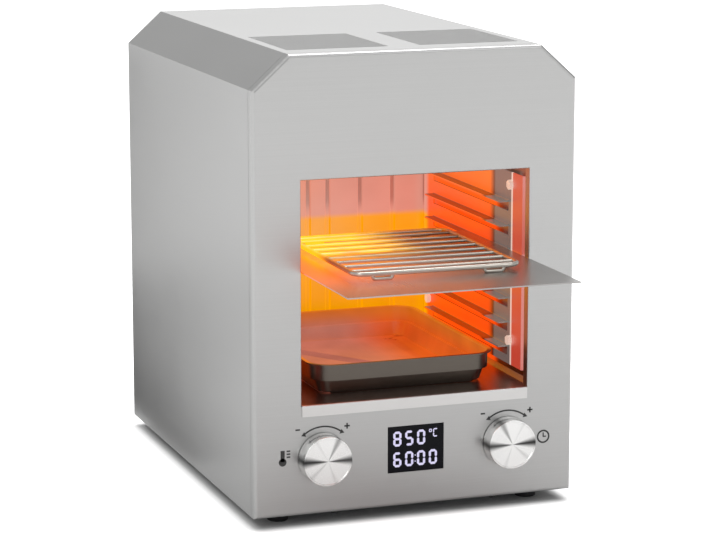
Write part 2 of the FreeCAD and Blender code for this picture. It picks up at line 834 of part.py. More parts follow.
def heating_element():
    """A serpentine of round sheathed rod whose two ends leave at the back."""
    xs = element_xs()
    ends = (heater_front + element_radius, heater_back - element_radius)
    tail = heater_cover_back + element_tail
    corners = [Vector(xs[0], tail, element_z)]
    for n in range(element_runs - 1):
        corners += [Vector(xs[n], ends[n % 2], element_z), Vector(xs[n + 1], ends[n % 2], element_z)]
    corners.append(Vector(xs[-1], tail, element_z))
    return bent_wire(corners, element_pitch / 2, element_radius)


def heater_plate():
    """A ceramic plate that carries the element in grooves on its lower face."""
    half = heater_half + heater_plate_margin
    y = (heater_front - heater_plate_margin, heater_back + heater_plate_margin)
    plate = block((-half, half), y, (liner_top, heater_plate_top))
    z = (liner_top - 1, liner_top + heater_groove_depth)
    xs = element_xs()
    wide = heater_groove_width / 2
    grooves = [block((x - wide, x + wide), (heater_front + 1, heater_back - 1), z) for x in xs]
    for low, high in ((heater_front, heater_front + heater_turn_room),
                      (heater_back - heater_turn_room, heater_back)):
        grooves.append(block((xs[0] - wide, xs[-1] + wide), (low, high), z))
    for x in (xs[0], xs[-1]):
        grooves.append(block((x - wide, x + wide), (heater_back - 2, y[1] + 1), z))
    return plate.cut(grooves)


def heater_cover():
    """The sheet-steel box over the heater, with a flange screwed to the ceiling."""
    half = heater_cover_half
    y = (heater_cover_front, heater_cover_back)
    sheet = heater_cover_sheet
    box = block((-half, half), y, (liner_top, heater_cover_top))
    flange = block((-half - heater_cover_flange, half + heater_cover_flange),
                   (y[0] - heater_cover_flange, y[1] + heater_cover_flange), (liner_top, liner_top + sheet))
    hollow = block((sheet - half, half - sheet), (y[0] + sheet, y[1] - sheet),
                   (liner_top - 1, heater_cover_top - sheet))
    cuts = [hollow]
    for x in (element_xs()[0], element_xs()[-1]):
        cuts.append(rod(bush_radius, Vector(x, y[1] - sheet - 1, element_z), Vector(x, y[1] + 1, element_z)))
    cuts += [rod(screw_radius + screw_hole_gap, p.add(Vector(0, 0, -2)), p.add(Vector(0, 0, 1)))
             for p in heater_screw_places()]
    return box.fuse(flange).cut(cuts)


def heater_board():
    """Ceramic-fibre board that fills the cover above the plate."""
    gap = heater_cover_sheet + heater_cover_gap / 2
    half = heater_cover_half - gap
    return block((-half, half), (heater_cover_front + gap, heater_cover_back - gap),
                 (heater_plate_top, heater_cover_top - heater_cover_sheet))


def terminal_bush(x):
    """A ceramic bush round one end of the element."""
    start = Vector(x, heater_cover_back - heater_cover_sheet, element_z)
    return tube(bush_radius, element_radius + bush_clearance, start, start.add(Vector(0, bush_length, 0)))


def heater_guard():
    """Guard wires under the heater, held by a cross wire at each end."""
    z = cavity_ceiling - guard_wire_radius
    y = (heater_front - guard_overlap, heater_back + guard_overlap)
    xs = [guard_pitch * (n - (guard_wires - 1) / 2) for n in range(guard_wires)]
    wires = [rod(guard_wire_radius, Vector(x, y[0], z), Vector(x, y[1], z)) for x in xs]
    cross_z = z - guard_wire_radius
    for cross_y in (y[0] + guard_wire_radius * 2, y[1] - guard_wire_radius * 2):
        wires.append(rod(guard_wire_radius, Vector(xs[0], cross_y, cross_z), Vector(xs[-1], cross_y, cross_z)))
    return wires[0].fuse(wires[1:])


def thermocouple_probe():
    """The temperature probe, through the back wall just under the heater."""
    start = Vector(probe_x, cavity_depth - probe_reach, probe_z)
    end = Vector(probe_x, liner_back + insulation_thickness + probe_reach / 2, probe_z)
    return rod(probe_radius, start, end)


def probe_gland():
    start = Vector(probe_x, liner_back, probe_z)
    end = start.add(Vector(0, gland_length, 0))
    return nut(gland_size, probe_radius, start, end)


def thermal_cutout():
    """A round safety cut-out clamped on top of the heater's cover."""
    low = Vector(0, (heater_cover_front + heater_cover_back) / 2, heater_cover_top)
    wide = rod(cutout_radius, low, low.add(Vector(0, 0, cutout_height / 2)))
    return wide.fuse(rod(cutout_radius * 0.7, low, low.add(Vector(0, 0, cutout_height))))


# Insulation, shield and brackets

def side_insulation():
    """The board outside the right wall, with pockets over the rack's nuts."""
    board = block((liner_half, liner_half + insulation_thickness),
                  (casing_sheet + liner_sheet + insulation_margin, liner_back - insulation_margin),
                  (cavity_floor + insulation_margin, cavity_ceiling - insulation_margin))
    pockets = [rod(nut_pocket_radius, Vector(liner_half - liner_sheet, y, z), Vector(liner_half + nut_pocket_depth, y, z))
               for y in rack_screw_ys for z in rack_screw_zs]
    return board.cut(pockets)


def back_insulation():
    """The board behind the back wall, resting on its ribs."""
    half = half_cavity - insulation_margin
    board = block((-half, half), (rib_back, rib_back + insulation_thickness),
                  (cavity_floor + insulation_margin, cavity_ceiling - insulation_margin / 2))
    pocket = rod(gland_size, Vector(probe_x, rib_back - 1, probe_z),
                 Vector(probe_x, rib_back + insulation_thickness + 1, probe_z))
    return board.cut(pocket)


def shield_spacer_places():
    return [Vector(side * (shield_width / 2 - 2 * nut_size), y, shield_top) for side in (-1, 1)
            for y in (shield_front + 2 * nut_size, shield_front + shield_length - 2 * nut_size)]


def heat_shield():
    """A sheet under the cavity floor that keeps its heat from the electronics."""
    return block((-shield_width / 2, shield_width / 2), (shield_front, shield_front + shield_length),
                 (shield_top - shield_sheet, shield_top))


def shield_spacer(place):
    return hexagon(nut_size, place, Vector(place.x, place.y, liner_underside))


def liner_bracket():
    """A channel that carries the rear of the cavity on the base plate."""
    x = (liner_half - bracket_inset - bracket_width, liner_half - bracket_inset)
    y = (liner_back - bracket_flange, liner_back)
    z = (base_top, liner_underside)
    body = block(x, y, z)
    room = block((x[0] - 1, x[1] + 1), (y[0] - 1, y[1] - bracket_sheet),
                 (z[0] + bracket_sheet, z[1] - bracket_sheet))
    return body.cut(room)


# Controls

def control_knob(x):
    """A turned knob: flat face, crisp edge, slight taper, hollow behind for the encoder's nut."""
    back, floor, edge, face, bore_end = [Vector(x, y, knob_height) for y in (
        knob_back, knob_back - knob_recess_depth, knob_edge - knob_face, -knob_face, knob_wall - knob_face)]
    rim = knob_radius - knob_taper
    body = flat_sided(knob_radius, back, edge, knob_flats, rim)
    body = body.fuse(flat_sided(rim, edge, face, knob_flats, rim - knob_edge))
    behind = back.add(Vector(0, 1, 0))
    recess = flat_sided(knob_recess_radius, behind, floor, knob_flats)
    return body.cut([recess, flat_sided(shaft_radius + shaft_clearance, behind, bore_end, bore_flats)])


def encoder_shaft(x):
    end = Vector(x, encoder_face + encoder_depth - encoder_floor - shaft_end_gap, knob_height)
    return turned(shaft_radius, end, Vector(x, -knob_face + knob_wall, knob_height))


def encoder(x):
    """A rotary encoder on the control board, its bushing through the panel."""
    half = encoder_side / 2
    body = block((x - half, x + half), (encoder_face, control_board_face),
                 (knob_height - half, knob_height + half))
    bushing = rod(bushing_radius, Vector(x, encoder_face, knob_height), Vector(x, -bushing_reach, knob_height))
    bore = flat_sided(shaft_radius + shaft_clearance,
                      Vector(x, encoder_face + encoder_depth - encoder_floor, knob_height),
                      Vector(x, -bushing_reach - 1, knob_height), bore_flats)
    return body.fuse(bushing).cut(bore)


def encoder_nut(x):
    start = Vector(x, 0, knob_height)
    return nut(encoder_nut_size, bushing_radius, start, start.add(Vector(0, -encoder_nut_height, 0)))


def display_window():
    """The dark lens: it fills the cut-out, with a flange behind the panel."""
    half = display_width / 2 - window_gap
    z = (display_bottom + window_gap, display_bottom + display_height - window_gap)
    lens = block((-half, half), (-window_proud, casing_sheet), z)
    lens = lens.makeChamfer(window_proud * 0.8, edges_at(lens, lambda p: near(p.y, -window_proud)))
    edge = display_width / 2 + window_flange
    flange = block((-edge, edge), (casing_sheet, casing_sheet + window_flange_sheet),
                   (display_bottom - window_flange, display_bottom + display_height + window_flange))
    return lens.fuse(flange)


def display_module():
    half = display_width / 2 - display_module_inset
    return block((-half, half), (casing_sheet + window_flange_sheet, control_board_face),
                 (display_bottom + display_module_inset, display_bottom + display_height - display_module_inset))


def board_post_places():
    x = control_board_width / 2 - board_post_inset
    low = control_board_bottom + board_post_inset
    high = control_board_bottom + control_board_height - board_post_inset
    return [Vector(side * x, casing_sheet, z) for side in (-1, 1) for z in (low, high)]


def control_board():
    half = control_board_width / 2
    board = block((-half, half), (control_board_face, control_board_face + board_sheet),
                  (control_board_bottom, control_board_bottom + control_board_height))
    return board.cut([rod(screw_radius + screw_hole_gap, Vector(p.x, control_board_face - 1, p.z),
                          Vector(p.x, control_board_face + board_sheet + 1, p.z))
                      for p in board_post_places()])


def board_post(place):
    end = Vector(place.x, control_board_face, place.z)
    return tube(board_post_radius, screw_radius + screw_hole_gap, place, end)


def board_screw(place):
    seat = Vector(place.x, control_board_face + board_sheet, place.z)
    return screw(seat.add(Vector(0, -screw_length - board_sheet, 0)), seat)


# Power electronics

power_board_low = base_top + power_board_lift
power_board_top = power_board_low + board_sheet
power_board_middle = Vector(power_board_x, power_board_front + power_board_length / 2, power_board_top)


def power_post_places():
    x = power_board_width / 2 - board_post_inset
    y = power_board_length / 2 - board_post_inset
    return [power_board_middle.add(Vector(sx * x, sy * y, 0)) for sx in (-1, 1) for sy in (-1, 1)]


def power_board():
    x, y = power_board_width / 2, power_board_length / 2
    mid = power_board_middle
    board = block((mid.x - x, mid.x + x), (mid.y - y, mid.y + y), (power_board_low, power_board_top))
    return board.cut([rod(screw_radius + screw_hole_gap, p.add(Vector(0, 0, -board_sheet - 1)),
                          p.add(Vector(0, 0, 1))) for p in power_post_places()])


def power_post(place):
    return tube(board_post_radius, screw_radius + screw_hole_gap, Vector(place.x, place.y, base_top),
                Vector(place.x, place.y, power_board_low))


def power_screw(place):
    return screw(place.add(Vector(0, 0, -screw_length)), place)


def on_power_board(size, share_x, share_y):
    """A boxed part on the board, its middle at a share of the board's size from the middle."""
    x = power_board_middle.x + power_board_width * share_x
    y = power_board_middle.y + power_board_length * share_y
    wide, long, high = size
    body = block((x - wide / 2, x + wide / 2), (y - long / 2, y + long / 2),
                 (power_board_top, power_board_top + high))
    uprights = [e for e in body.Edges if near(e.Length, high) and near(e.Vertexes[0].X, e.Vertexes[1].X)
                and near(e.Vertexes[0].Y, e.Vertexes[1].Y)]
    return body.makeChamfer(moulded_edge, uprights)


# Cooling fan

def fan_screw_places():
    half = fan_screw_spacing / 2
    return [Vector(fan_x + sx * half, case_depth, fan_height + sz * half) for sx in (-1, 1) for sz in (-1, 1)]


fan_axis_front = Vector(fan_x, fan_front, fan_height)
fan_axis_back = Vector(fan_x, rear_face, fan_height)
fan_disc_front = fan_axis_back.add(Vector(0, -fan_strut_sheet, 0))


def fan_housing():
    """The square frame with its round duct, and the motor's seat on three struts."""
    half = fan_side / 2
    frame = block((fan_x - half, fan_x + half), (fan_front, rear_face), (fan_height - half, fan_height + half))
    frame = frame.makeChamfer(fan_corner, [e for e in frame.Edges if near(e.Length, fan_depth)])
    frame = frame.cut(rod(fan_duct_radius, fan_axis_front, fan_axis_back))
    disc = rod(fan_hub_radius, fan_disc_front, fan_axis_back)
    struts = []
    for n in range(3):
        arm = block((fan_x - fan_strut_sheet, fan_x + fan_strut_sheet), (fan_disc_front.y, rear_face),
                    (fan_height + fan_hub_radius - 1, fan_height + fan_duct_radius + 1))
        arm.rotate(fan_axis_back, Vector(0, 1, 0), 120 * n)
        struts.append(arm)
    boss = rod(fan_boss_radius, fan_disc_front.add(Vector(0, -fan_depth / 3, 0)), fan_disc_front)
    bore = flat_sided(fan_shaft_radius + shaft_clearance, fan_axis_front, fan_disc_front, bore_flats)
    holes = [rod(screw_radius + screw_hole_gap, Vector(p.x, rear_face - screw_length - 2, p.z),
                 Vector(p.x, rear_face + 1, p.z)) for p in fan_screw_places()]
    return frame.fuse([disc, boss] + struts).cut([bore] + holes).removeSplitter()


def fan_rotor():
    """The impeller: a cup with its shaft and pitched blades."""
    front = fan_axis_front.add(Vector(0, fan_running_gap, 0))
    back = fan_disc_front.add(Vector(0, -fan_running_gap, 0))
    cup = rod(fan_hub_radius, front, back)
    cup = cup.cut(rod(fan_hub_radius - fan_cup_wall, front.add(Vector(0, fan_cup_wall, 0)),
                      back.add(Vector(0, 1, 0))))
    shaft = turned(fan_shaft_radius, front, back)
    tip = fan_duct_radius - fan_tip_gap
    depth = back.y - front.y
    sweep = tube(tip, fan_hub_radius - fan_cup_wall / 2, front, back)
    blades = []
    for n in range(fan_blades):
        blade = block((-fan_blade_sheet / 2, fan_blade_sheet / 2), (-depth, depth), (0, tip + 2))
        blade.rotate(Vector(0, 0, 0), Vector(0, 0, 1), fan_blade_pitch)
        blade.rotate(Vector(0, 0, 0), Vector(0, 1, 0), 360 / fan_blades * n)
        blade.translate(Vector(fan_x, (front.y + back.y) / 2, fan_height))
        blades.append(blade.common(sweep))
    return cup.fuse([shaft] + blades)


def fan_screw(place):
    return screw(place.add(Vector(0, -screw_length - casing_sheet, 0)), place)


# Mains inlet

def inlet_screw_places():
    half = inlet_screw_spacing / 2
    return [Vector(inlet_x + side * half, inlet_face, inlet_height) for side in (-1, 1)]


def inlet_box(width, height, y):
    return block((inlet_x - width / 2, inlet_x + width / 2), y,
                 (inlet_height - height / 2, inlet_height + height / 2))


def mains_inlet():
    """The appliance inlet: a flange on the panel and a socket with two cut corners."""
    flange = inlet_box(inlet_flange_width, inlet_flange_height, (case_depth, inlet_face))
    corners = [e for e in flange.Edges if near(e.Length, inlet_flange_sheet)]
    flange = flange.makeChamfer(inlet_flange_sheet, corners)
    body = inlet_box(inlet_body_width - 0.2, inlet_body_height - 0.2, (case_depth - inlet_body_depth, case_depth))
    socket = inlet_box(inlet_socket_width, inlet_socket_height, (inlet_face - inlet_socket_depth, inlet_face + 1))
    top = inlet_height + inlet_socket_height / 2
    upper = [e for e in socket.Edges if near(e.Length, inlet_socket_depth + 1)
             and near(e.CenterOfMass.z, top)]
    socket = socket.makeChamfer(inlet_socket_height / 4, upper)
    holes = [rod(screw_radius + screw_hole_gap, Vector(p.x, case_depth - 1, p.z), Vector(p.x, inlet_face + 1, p.z))
             for p in inlet_screw_places()]
    return flange.fuse(body).cut([socket] + holes)


def inlet_pins():
    """Three flat pins standing in the socket."""
    wide, high = inlet_pin
    floor = inlet_face - inlet_socket_depth
    places = [(-inlet_pin_spacing, -inlet_pin_offset), (0, inlet_pin_offset), (inlet_pin_spacing, -inlet_pin_offset)]
    return [block((inlet_x + x - wide / 2, inlet_x + x + wide / 2), (floor, floor + inlet_pin_length),
                  (inlet_height + z - high / 2, inlet_height + z + high / 2)) for x, z in places]


def inlet_screw(place):
    return screw(place.add(Vector(0, -screw_length - inlet_flange_sheet, 0)), place)


# Write every piece

def shank_up(place):
    """A screw driven upwards from below the casing."""
    return screw(place.add(Vector(0, 0, screw_length)), place)


def rear_screw(place):
    seat = Vector(place.x, case_depth, place.z)
    return screw(seat.add(Vector(0, -screw_length, 0)), seat)


save("front_panel", front_panel())
save("outer_shell", outer_shell())
save("rear_panel", rear_panel())
save("base_plate", base_plate())
for number, place in enumerate(foot_places(), 1):
    save("foot_" + str(number), foot(place))
save("foot_screws", *[foot_screw(p) for p in foot_places()])
save("foot_nuts", *[foot_nut(p) for p in foot_places()])
save("base_screws", *[shank_up(p) for p in front_screw_places() + side_screw_places()])
save("rear_screws", *([rear_screw(p) for p in rear_screw_places()]
                      + [fan_screw(p) for p in fan_screw_places()]))

save("cavity_liner", cavity_liner())
right_rack = side_rack()
save("side_rack_right", right_rack)
save("side_rack_left", mirrored(right_rack))
for name, solids in zip(("rack_screws", "rack_spacers", "rack_nuts"), rack_fixings()):
    save(name, *(solids + [mirrored(s) for s in solids]))

save("heating_element", heating_element())
save("heater_plate", heater_plate())
save("heater_board", heater_board())
save("heater_cover", heater_cover())
save("heater_screws", *[screw(p.add(Vector(0, 0, -screw_length / 2)), p) for p in heater_screw_places()])
save("terminal_bushes", *[terminal_bush(x) for x in (element_xs()[0], element_xs()[-1])])
save("heater_guard", heater_guard())
save("thermocouple_probe", thermocouple_probe())
save("probe_gland", probe_gland())
save("thermal_cutout", thermal_cutout())

right_board = side_insulation()
save("insulation_right", right_board)
save("insulation_left", mirrored(right_board))
save("insulation_back", back_insulation())
save("heat_shield", heat_shield())
save("shield_spacers", *[shield_spacer(p) for p in shield_spacer_places()])
save("liner_brackets", liner_bracket(), mirrored(liner_bracket()))

for side, x in zip(("left", "right"), knob_xs):
    save("knob_" + side, control_knob(x))
    save("encoder_shaft_" + side, encoder_shaft(x))
    save("encoder_" + side, encoder(x))
save("encoder_nuts", *[encoder_nut(x) for x in knob_xs])
save("display_window", display_window())
save("display_module", display_module())
save("control_board", control_board())
save("board_posts", *[board_post(p) for p in board_post_places()])
save("board_screws", *([board_screw(p) for p in board_post_places()]
                       + [power_screw(p) for p in power_post_places()]))

save("power_board", power_board())
save("power_posts", *[power_post(p) for p in power_post_places()])
save("power_relay", on_power_board(relay_size, -0.28, 0.1))
save("transformer", on_power_board(transformer_size, 0.22, 0.12))
save("terminal_block", on_power_board(terminal_size, 0.0, -0.3))

save("fan_housing", fan_housing())
save("fan_rotor", fan_rotor())
save("mains_inlet", mains_inlet())
save("inlet_pins", *inlet_pins())
save("inlet_screws", *[inlet_screw(p) for p in inlet_screw_places()])

save("food_tray", food_tray())
save("grill_grate", grill_grate())
save("drip_pan", drip_pan())
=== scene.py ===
# %% [markdown]
# # A steel countertop grill, dressed over its CAD frame
# The casing is brushed stainless sheet, the inside glows from the heater above, and two
# turned knobs flank a black display. The CAD frame brings every load-bearing piece at its
# true size. This lesson adds the finishes, the light, and the pieces that the frame keeps
# plain: round knobs, round wire, a pressed pan, soft feet, lit digits and printed signs.

# %% Tools and frame
import math

import bmesh
import bpy
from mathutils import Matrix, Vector


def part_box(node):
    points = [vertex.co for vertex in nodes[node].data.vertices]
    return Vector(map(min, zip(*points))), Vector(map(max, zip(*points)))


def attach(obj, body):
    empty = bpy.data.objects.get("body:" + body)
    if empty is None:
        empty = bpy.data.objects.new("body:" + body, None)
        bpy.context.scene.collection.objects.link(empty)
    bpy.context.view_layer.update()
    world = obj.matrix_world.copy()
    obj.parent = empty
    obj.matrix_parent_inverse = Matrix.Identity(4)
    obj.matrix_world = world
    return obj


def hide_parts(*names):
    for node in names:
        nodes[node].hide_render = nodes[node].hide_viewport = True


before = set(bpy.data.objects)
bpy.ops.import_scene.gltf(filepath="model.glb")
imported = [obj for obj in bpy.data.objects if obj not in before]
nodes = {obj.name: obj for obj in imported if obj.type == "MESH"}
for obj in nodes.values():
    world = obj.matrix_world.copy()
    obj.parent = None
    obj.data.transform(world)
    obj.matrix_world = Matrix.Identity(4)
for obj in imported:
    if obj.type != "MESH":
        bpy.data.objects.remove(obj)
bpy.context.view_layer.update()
mm = 0.001
print("CAD nodes:", len(nodes))

# %% [markdown]
# ## Places that everything else is measured from
# Boxes of the CAD nodes give every place that the new pieces need. Reading them, and not
# typing them, keeps the new pieces on the frame if a size changes.

# %% Places
panel_low, panel_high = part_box("front_panel")
tray_low, tray_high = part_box("food_tray")
liner_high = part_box("cavity_liner")[1]
window_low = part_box("display_window")[0]
panel_face = panel_low.y
casing_height = panel_high.z - panel_low.z
print("panel face at y =", round(panel_face, 4), "casing height", round(casing_height, 4))

# %% [markdown]
# ## Camera
# A long lens a little above and to the left of the grill gives the view of a catalogue
# picture: the front is the main face, the left side recedes, and the top just shows.

# %% Camera
camera_place = Vector((-0.742, -2.0714, 0.6041))
camera_turn = math.radians(19.66)
camera_drop = math.radians(11.0)
camera_lens = 135.2
film_width = 36.0
camera_data = bpy.data.cameras.new("camera")
camera_data.sensor_width = film_width
camera_data.lens = camera_lens
camera = bpy.data.objects.new("camera", camera_data)
camera.location = camera_place
camera.rotation_euler = (math.pi / 2 - camera_drop, 0, -camera_turn)
bpy.context.scene.collection.objects.link(camera)
bpy.context.scene.camera = camera
bpy.context.scene.view_settings.view_transform = "Standard"

# %% [markdown]
# ## Small helpers for modelling
# bpy.ops works on what is selected, as a hand would. These helpers select exactly one
# object, or only the faces and edges that pass a test, so no step touches more than it should.

# %% Modelling helpers
def only(piece):
    """Selects one object and makes it active, in object mode."""
    if bpy.context.object and bpy.context.object.mode != "OBJECT":
        bpy.ops.object.mode_set(mode="OBJECT")
    bpy.ops.object.select_all(action="DESELECT")
    piece.select_set(True)
    bpy.context.view_layer.objects.active = piece
    return piece


def edit(piece):
    """Opens one object in edit mode."""
    only(piece)
    bpy.ops.object.mode_set(mode="EDIT")


def done(piece):
    """Leaves edit mode."""
    bpy.ops.object.mode_set(mode="OBJECT")
    return piece


def pick(piece, kind, test):
    """In edit mode, selects only the faces, edges or points that pass a test."""
    bpy.ops.mesh.select_mode(type=kind)
    bpy.ops.mesh.select_all(action="DESELECT")
    mesh = bmesh.from_edit_mesh(piece.data)
    parts = {"VERT": mesh.verts, "EDGE": mesh.edges, "FACE": mesh.faces}[kind]
    chosen = [part for part in parts if test(part)]
    for part in chosen:
        part.select_set(True)
    mesh.select_flush(True)
    bmesh.update_edit_mesh(piece.data)
    return len(chosen)


def settle(piece):
    """Moves a piece's place and turn into its mesh, so that its object sits at the origin."""
    only(piece)
    bpy.ops.object.transform_apply(location=True, rotation=True, scale=True)
    return piece


def joined(pieces, name):
    """One object made of several."""
    only(pieces[0])
    for piece in pieces:
        piece.select_set(True)
    bpy.ops.object.join()
    pieces[0].name = name
    return pieces[0]


def smooth(piece, degrees):
    """Shades round surfaces smooth and leaves edges sharper than degrees as they are."""
    only(piece)
    bpy.ops.object.shade_smooth_by_angle(angle=math.radians(degrees))
    return piece


def outward(piece):
    """Merges doubled points and turns every face outwards."""
    edit(piece)
    bpy.ops.mesh.select_all(action="SELECT")
    bpy.ops.mesh.remove_doubles(threshold=1e-6)
    bpy.ops.mesh.normals_make_consistent(inside=False)
    return done(piece)


def cylinder(radius, start, end, sides=24):
    """A round bar between two points, at the size and place it needs."""
    run = Vector(end) - Vector(start)
    bpy.ops.mesh.primitive_cylinder_add(vertices=sides, radius=radius, depth=run.length,
                                        location=(Vector(start) + Vector(end)) / 2)
    bar = bpy.context.object
    bar.rotation_mode = "QUATERNION"
    bar.rotation_quaternion = run.to_track_quat("Z", "Y")
    return settle(bar)


def finish(piece, body, slot, material, *replaced):
    """Gives a piece its body and its material, in its one material slot. The slot argument is not used."""
    piece.data.materials.clear()
    piece.data.materials.append(material)
    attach(piece, body)
    if replaced:
        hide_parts(*replaced)
    print(piece.name, "has", len(piece.data.polygons), "faces")
    return piece


# %% [markdown]
# ## Small helpers for materials
# Each material is a Principled shader. Numbers that are the same all over go straight onto
# its sockets. What changes over the surface comes from shared node groups.

# %% Material helpers
def add_node(tree, kind, **settings):
    """A shader node of a kind, with its settings."""
    made = tree.nodes.new("ShaderNode" + kind)
    for name, value in settings.items():
        setattr(made, name, value)
    return made


def wire(tree, source, target):
    """Links an output socket to an input socket."""
    tree.links.new(source, target)


def math_node(tree, operation, first, second=None, third=None, clamp=False):
    """A Math node whose inputs are sockets or plain numbers."""
    made = add_node(tree, "Math", operation=operation, use_clamp=clamp)
    for socket, value in zip(made.inputs, (first, second, third)):
        if isinstance(value, (int, float)):
            socket.default_value = value
        elif value is not None:
            wire(tree, value, socket)
    return made.outputs[0]


def between(tree, value, low, high, start=0.0, end=1.0):
    """Runs smoothly from start to end as value goes from low to high."""
    made = add_node(tree, "MapRange", interpolation_type="SMOOTHSTEP")
    wire(tree, value, made.inputs["Value"])
    for socket, number in zip(("From Min", "From Max", "To Min", "To Max"), (low, high, start, end)):
        made.inputs[socket].default_value = number
    return made.outputs["Result"]


def product(tree, *factors):
    """Multiplies sockets and plain numbers together."""
    result = factors[0]
    for factor in factors[1:]:
        result = math_node(tree, "MULTIPLY", result, factor)
    return result


def own_parts(tree, kind="Object"):
    """The x, y and z of the object's own coordinates, or of its normal."""
    parts = add_node(tree, "SeparateXYZ")
    wire(tree, add_node(tree, "TexCoord").outputs[kind], parts.inputs[0])
    return parts.outputs


def colour_mix(tree, factor, first, second, blend="MIX"):
    """Mixes two colours, each a socket or a plain colour."""
    made = add_node(tree, "Mix", data_type="RGBA", blend_type=blend)
    for socket, value in ((made.inputs[0], factor), (made.inputs[6], first), (made.inputs[7], second)):
        if isinstance(value, tuple):
            socket.default_value = (*value, 1.0)
        elif isinstance(value, (int, float)):
            socket.default_value = value
        else:
            wire(tree, value, socket)
    return made.outputs[2]


def noise(tree, vector, scale, detail=2.0):
    """Soft noise from 0 to 1."""
    made = add_node(tree, "TexNoise")
    made.inputs["Scale"].default_value = scale
    made.inputs["Detail"].default_value = detail
    wire(tree, vector, made.inputs["Vector"])
    return made.outputs["Fac"]


def new_group(name, inputs, outputs):
    """An empty shader group with named inputs and outputs."""
    group = bpy.data.node_groups.new(name, "ShaderNodeTree")
    for label, value in inputs.items():
        socket = group.interface.new_socket(label, in_out="INPUT", socket_type="NodeSocketFloat")
        socket.default_value = value
    for label, kind in outputs.items():
        group.interface.new_socket(label, in_out="OUTPUT", socket_type="NodeSocket" + kind)
    return group, group.nodes.new("NodeGroupInput"), group.nodes.new("NodeGroupOutput")


def place_group(tree, group, **values):
    """Puts a group in a material and sets its inputs by their names."""
    made = add_node(tree, "Group", node_tree=group)
    for name, value in values.items():
        made.inputs[name.replace("_", " ").capitalize()].default_value = value
    return made


def new_material(name, colour, metallic, roughness, **sockets):
    """A material with a Principled shader; returns it with its node tree and shader."""
    material = bpy.data.materials.new(name)
    material.use_nodes = True
    tree = material.node_tree
    shader = tree.nodes["Principled BSDF"]
    shader.inputs["Base Color"].default_value = (*colour, 1.0)
    shader.inputs["Metallic"].default_value = metallic
    shader.inputs["Roughness"].default_value = roughness
    for label, value in sockets.items():
        shader.inputs[label.replace("_", " ")].default_value = value
    return material, tree, shader


def bump(tree, shader, height, distance):
    """Fine relief of a given depth in metres."""
    made = add_node(tree, "Bump")
    made.inputs["Distance"].default_value = distance
    wire(tree, height, made.inputs["Height"])
    wire(tree, made.outputs["Normal"], shader.inputs["Normal"])


# %% [markdown]
# ## Brushed grain
# A belt drags the same way over every sheet, so the grain is long fine lines. Noise that is
# stretched a few hundred times along one axis gives them. Upright faces are brushed level,
# and flat faces from front to back, which a mask from the object's own normal picks.

# %% Brushed grain group
cloud_scale = 14.0
flat_enough = 0.6
grain_group, grain_in, grain_out = new_group(
    "Brushed grain", {"Lines per metre": 1500.0, "Stretch": 0.004}, {"Lines": "Float", "Clouds": "Float"})
coordinates = add_node(grain_group, "TexCoord")
facing_up = math_node(grain_group, "ABSOLUTE", own_parts(grain_group, "Normal")["Z"])
is_flat = math_node(grain_group, "GREATER_THAN", facing_up, flat_enough)
along = product(grain_group, grain_in.outputs[0], grain_in.outputs[1])
scaled = []
for across in ("Z", "X"):
    scale = add_node(grain_group, "CombineXYZ")
    for axis in "XYZ":
        wire(grain_group, grain_in.outputs[0] if axis == across else along, scale.inputs[axis])
    stretched = add_node(grain_group, "VectorMath", operation="MULTIPLY")
    wire(grain_group, coordinates.outputs["Object"], stretched.inputs[0])
    wire(grain_group, scale.outputs[0], stretched.inputs[1])
    scaled.append(stretched.outputs[0])
picked = add_node(grain_group, "Mix", data_type="VECTOR")
wire(grain_group, is_flat, picked.inputs[0])
wire(grain_group, scaled[0], picked.inputs[4])
wire(grain_group, scaled[1], picked.inputs[5])
wire(grain_group, noise(grain_group, picked.outputs[1], 1.0, 3.0), grain_out.inputs["Lines"])
wire(grain_group, noise(grain_group, coordinates.outputs["Object"], cloud_scale, 3.0),
     grain_out.inputs["Clouds"])

# %% [markdown]
# ## Heat glow
# Inside, every surface throws back the light of the red-hot element. In a still picture that
# light is part of how the steel looks, so it is painted as emission: none at the mouth,
# full further in, orange on the sides, paler on the back wall and yellow where it is hottest.

# %% Heat glow group
mouth_start = panel_face + 72 * mm
mouth_end = panel_face + 86 * mm
tray_level = tray_high.z
rack_plane = (0.103, 0.106)
rack_back_shade = 0.9
shelf_shade = 0.85
rib_first = 9 * mm
rib_pitch = 30 * mm
rib_shade_depth = 0.55
side_glow = (1.0, 0.075, 0.003)
top_glow = (1.0, 0.2, 0.02)
back_glow = (0.74, 0.29, 0.22)
back_left_glow = (0.95, 0.30, 0.12)
hot_glow = (1.0, 0.36, 0.0)
glow_group, glow_in, glow_out = new_group(
    "Heat glow", {"Strength": 1.0}, {"Colour": "Color", "Amount": "Float"})
x, y, z = own_parts(glow_group)
across = math_node(glow_group, "ABSOLUTE", x)
is_back = between(glow_group, y, liner_high.y - 22 * mm, liner_high.y - 12 * mm)

# %% Heat glow colour
left_mask = between(glow_group, x, 0.03, -0.09)
high_mask = between(glow_group, z, tray_level + 5 * mm, liner_high.z - 20 * mm)
low_mask = between(glow_group, z, tray_level + 2 * mm, tray_level - 4 * mm)
sides = colour_mix(glow_group, high_mask, side_glow, top_glow)
back_upper = colour_mix(glow_group, product(glow_group, left_mask, 0.7), back_glow, back_left_glow)
back = colour_mix(glow_group, low_mask, back_upper, hot_glow)
wire(glow_group, colour_mix(glow_group, is_back, sides, back), glow_out.inputs["Colour"])

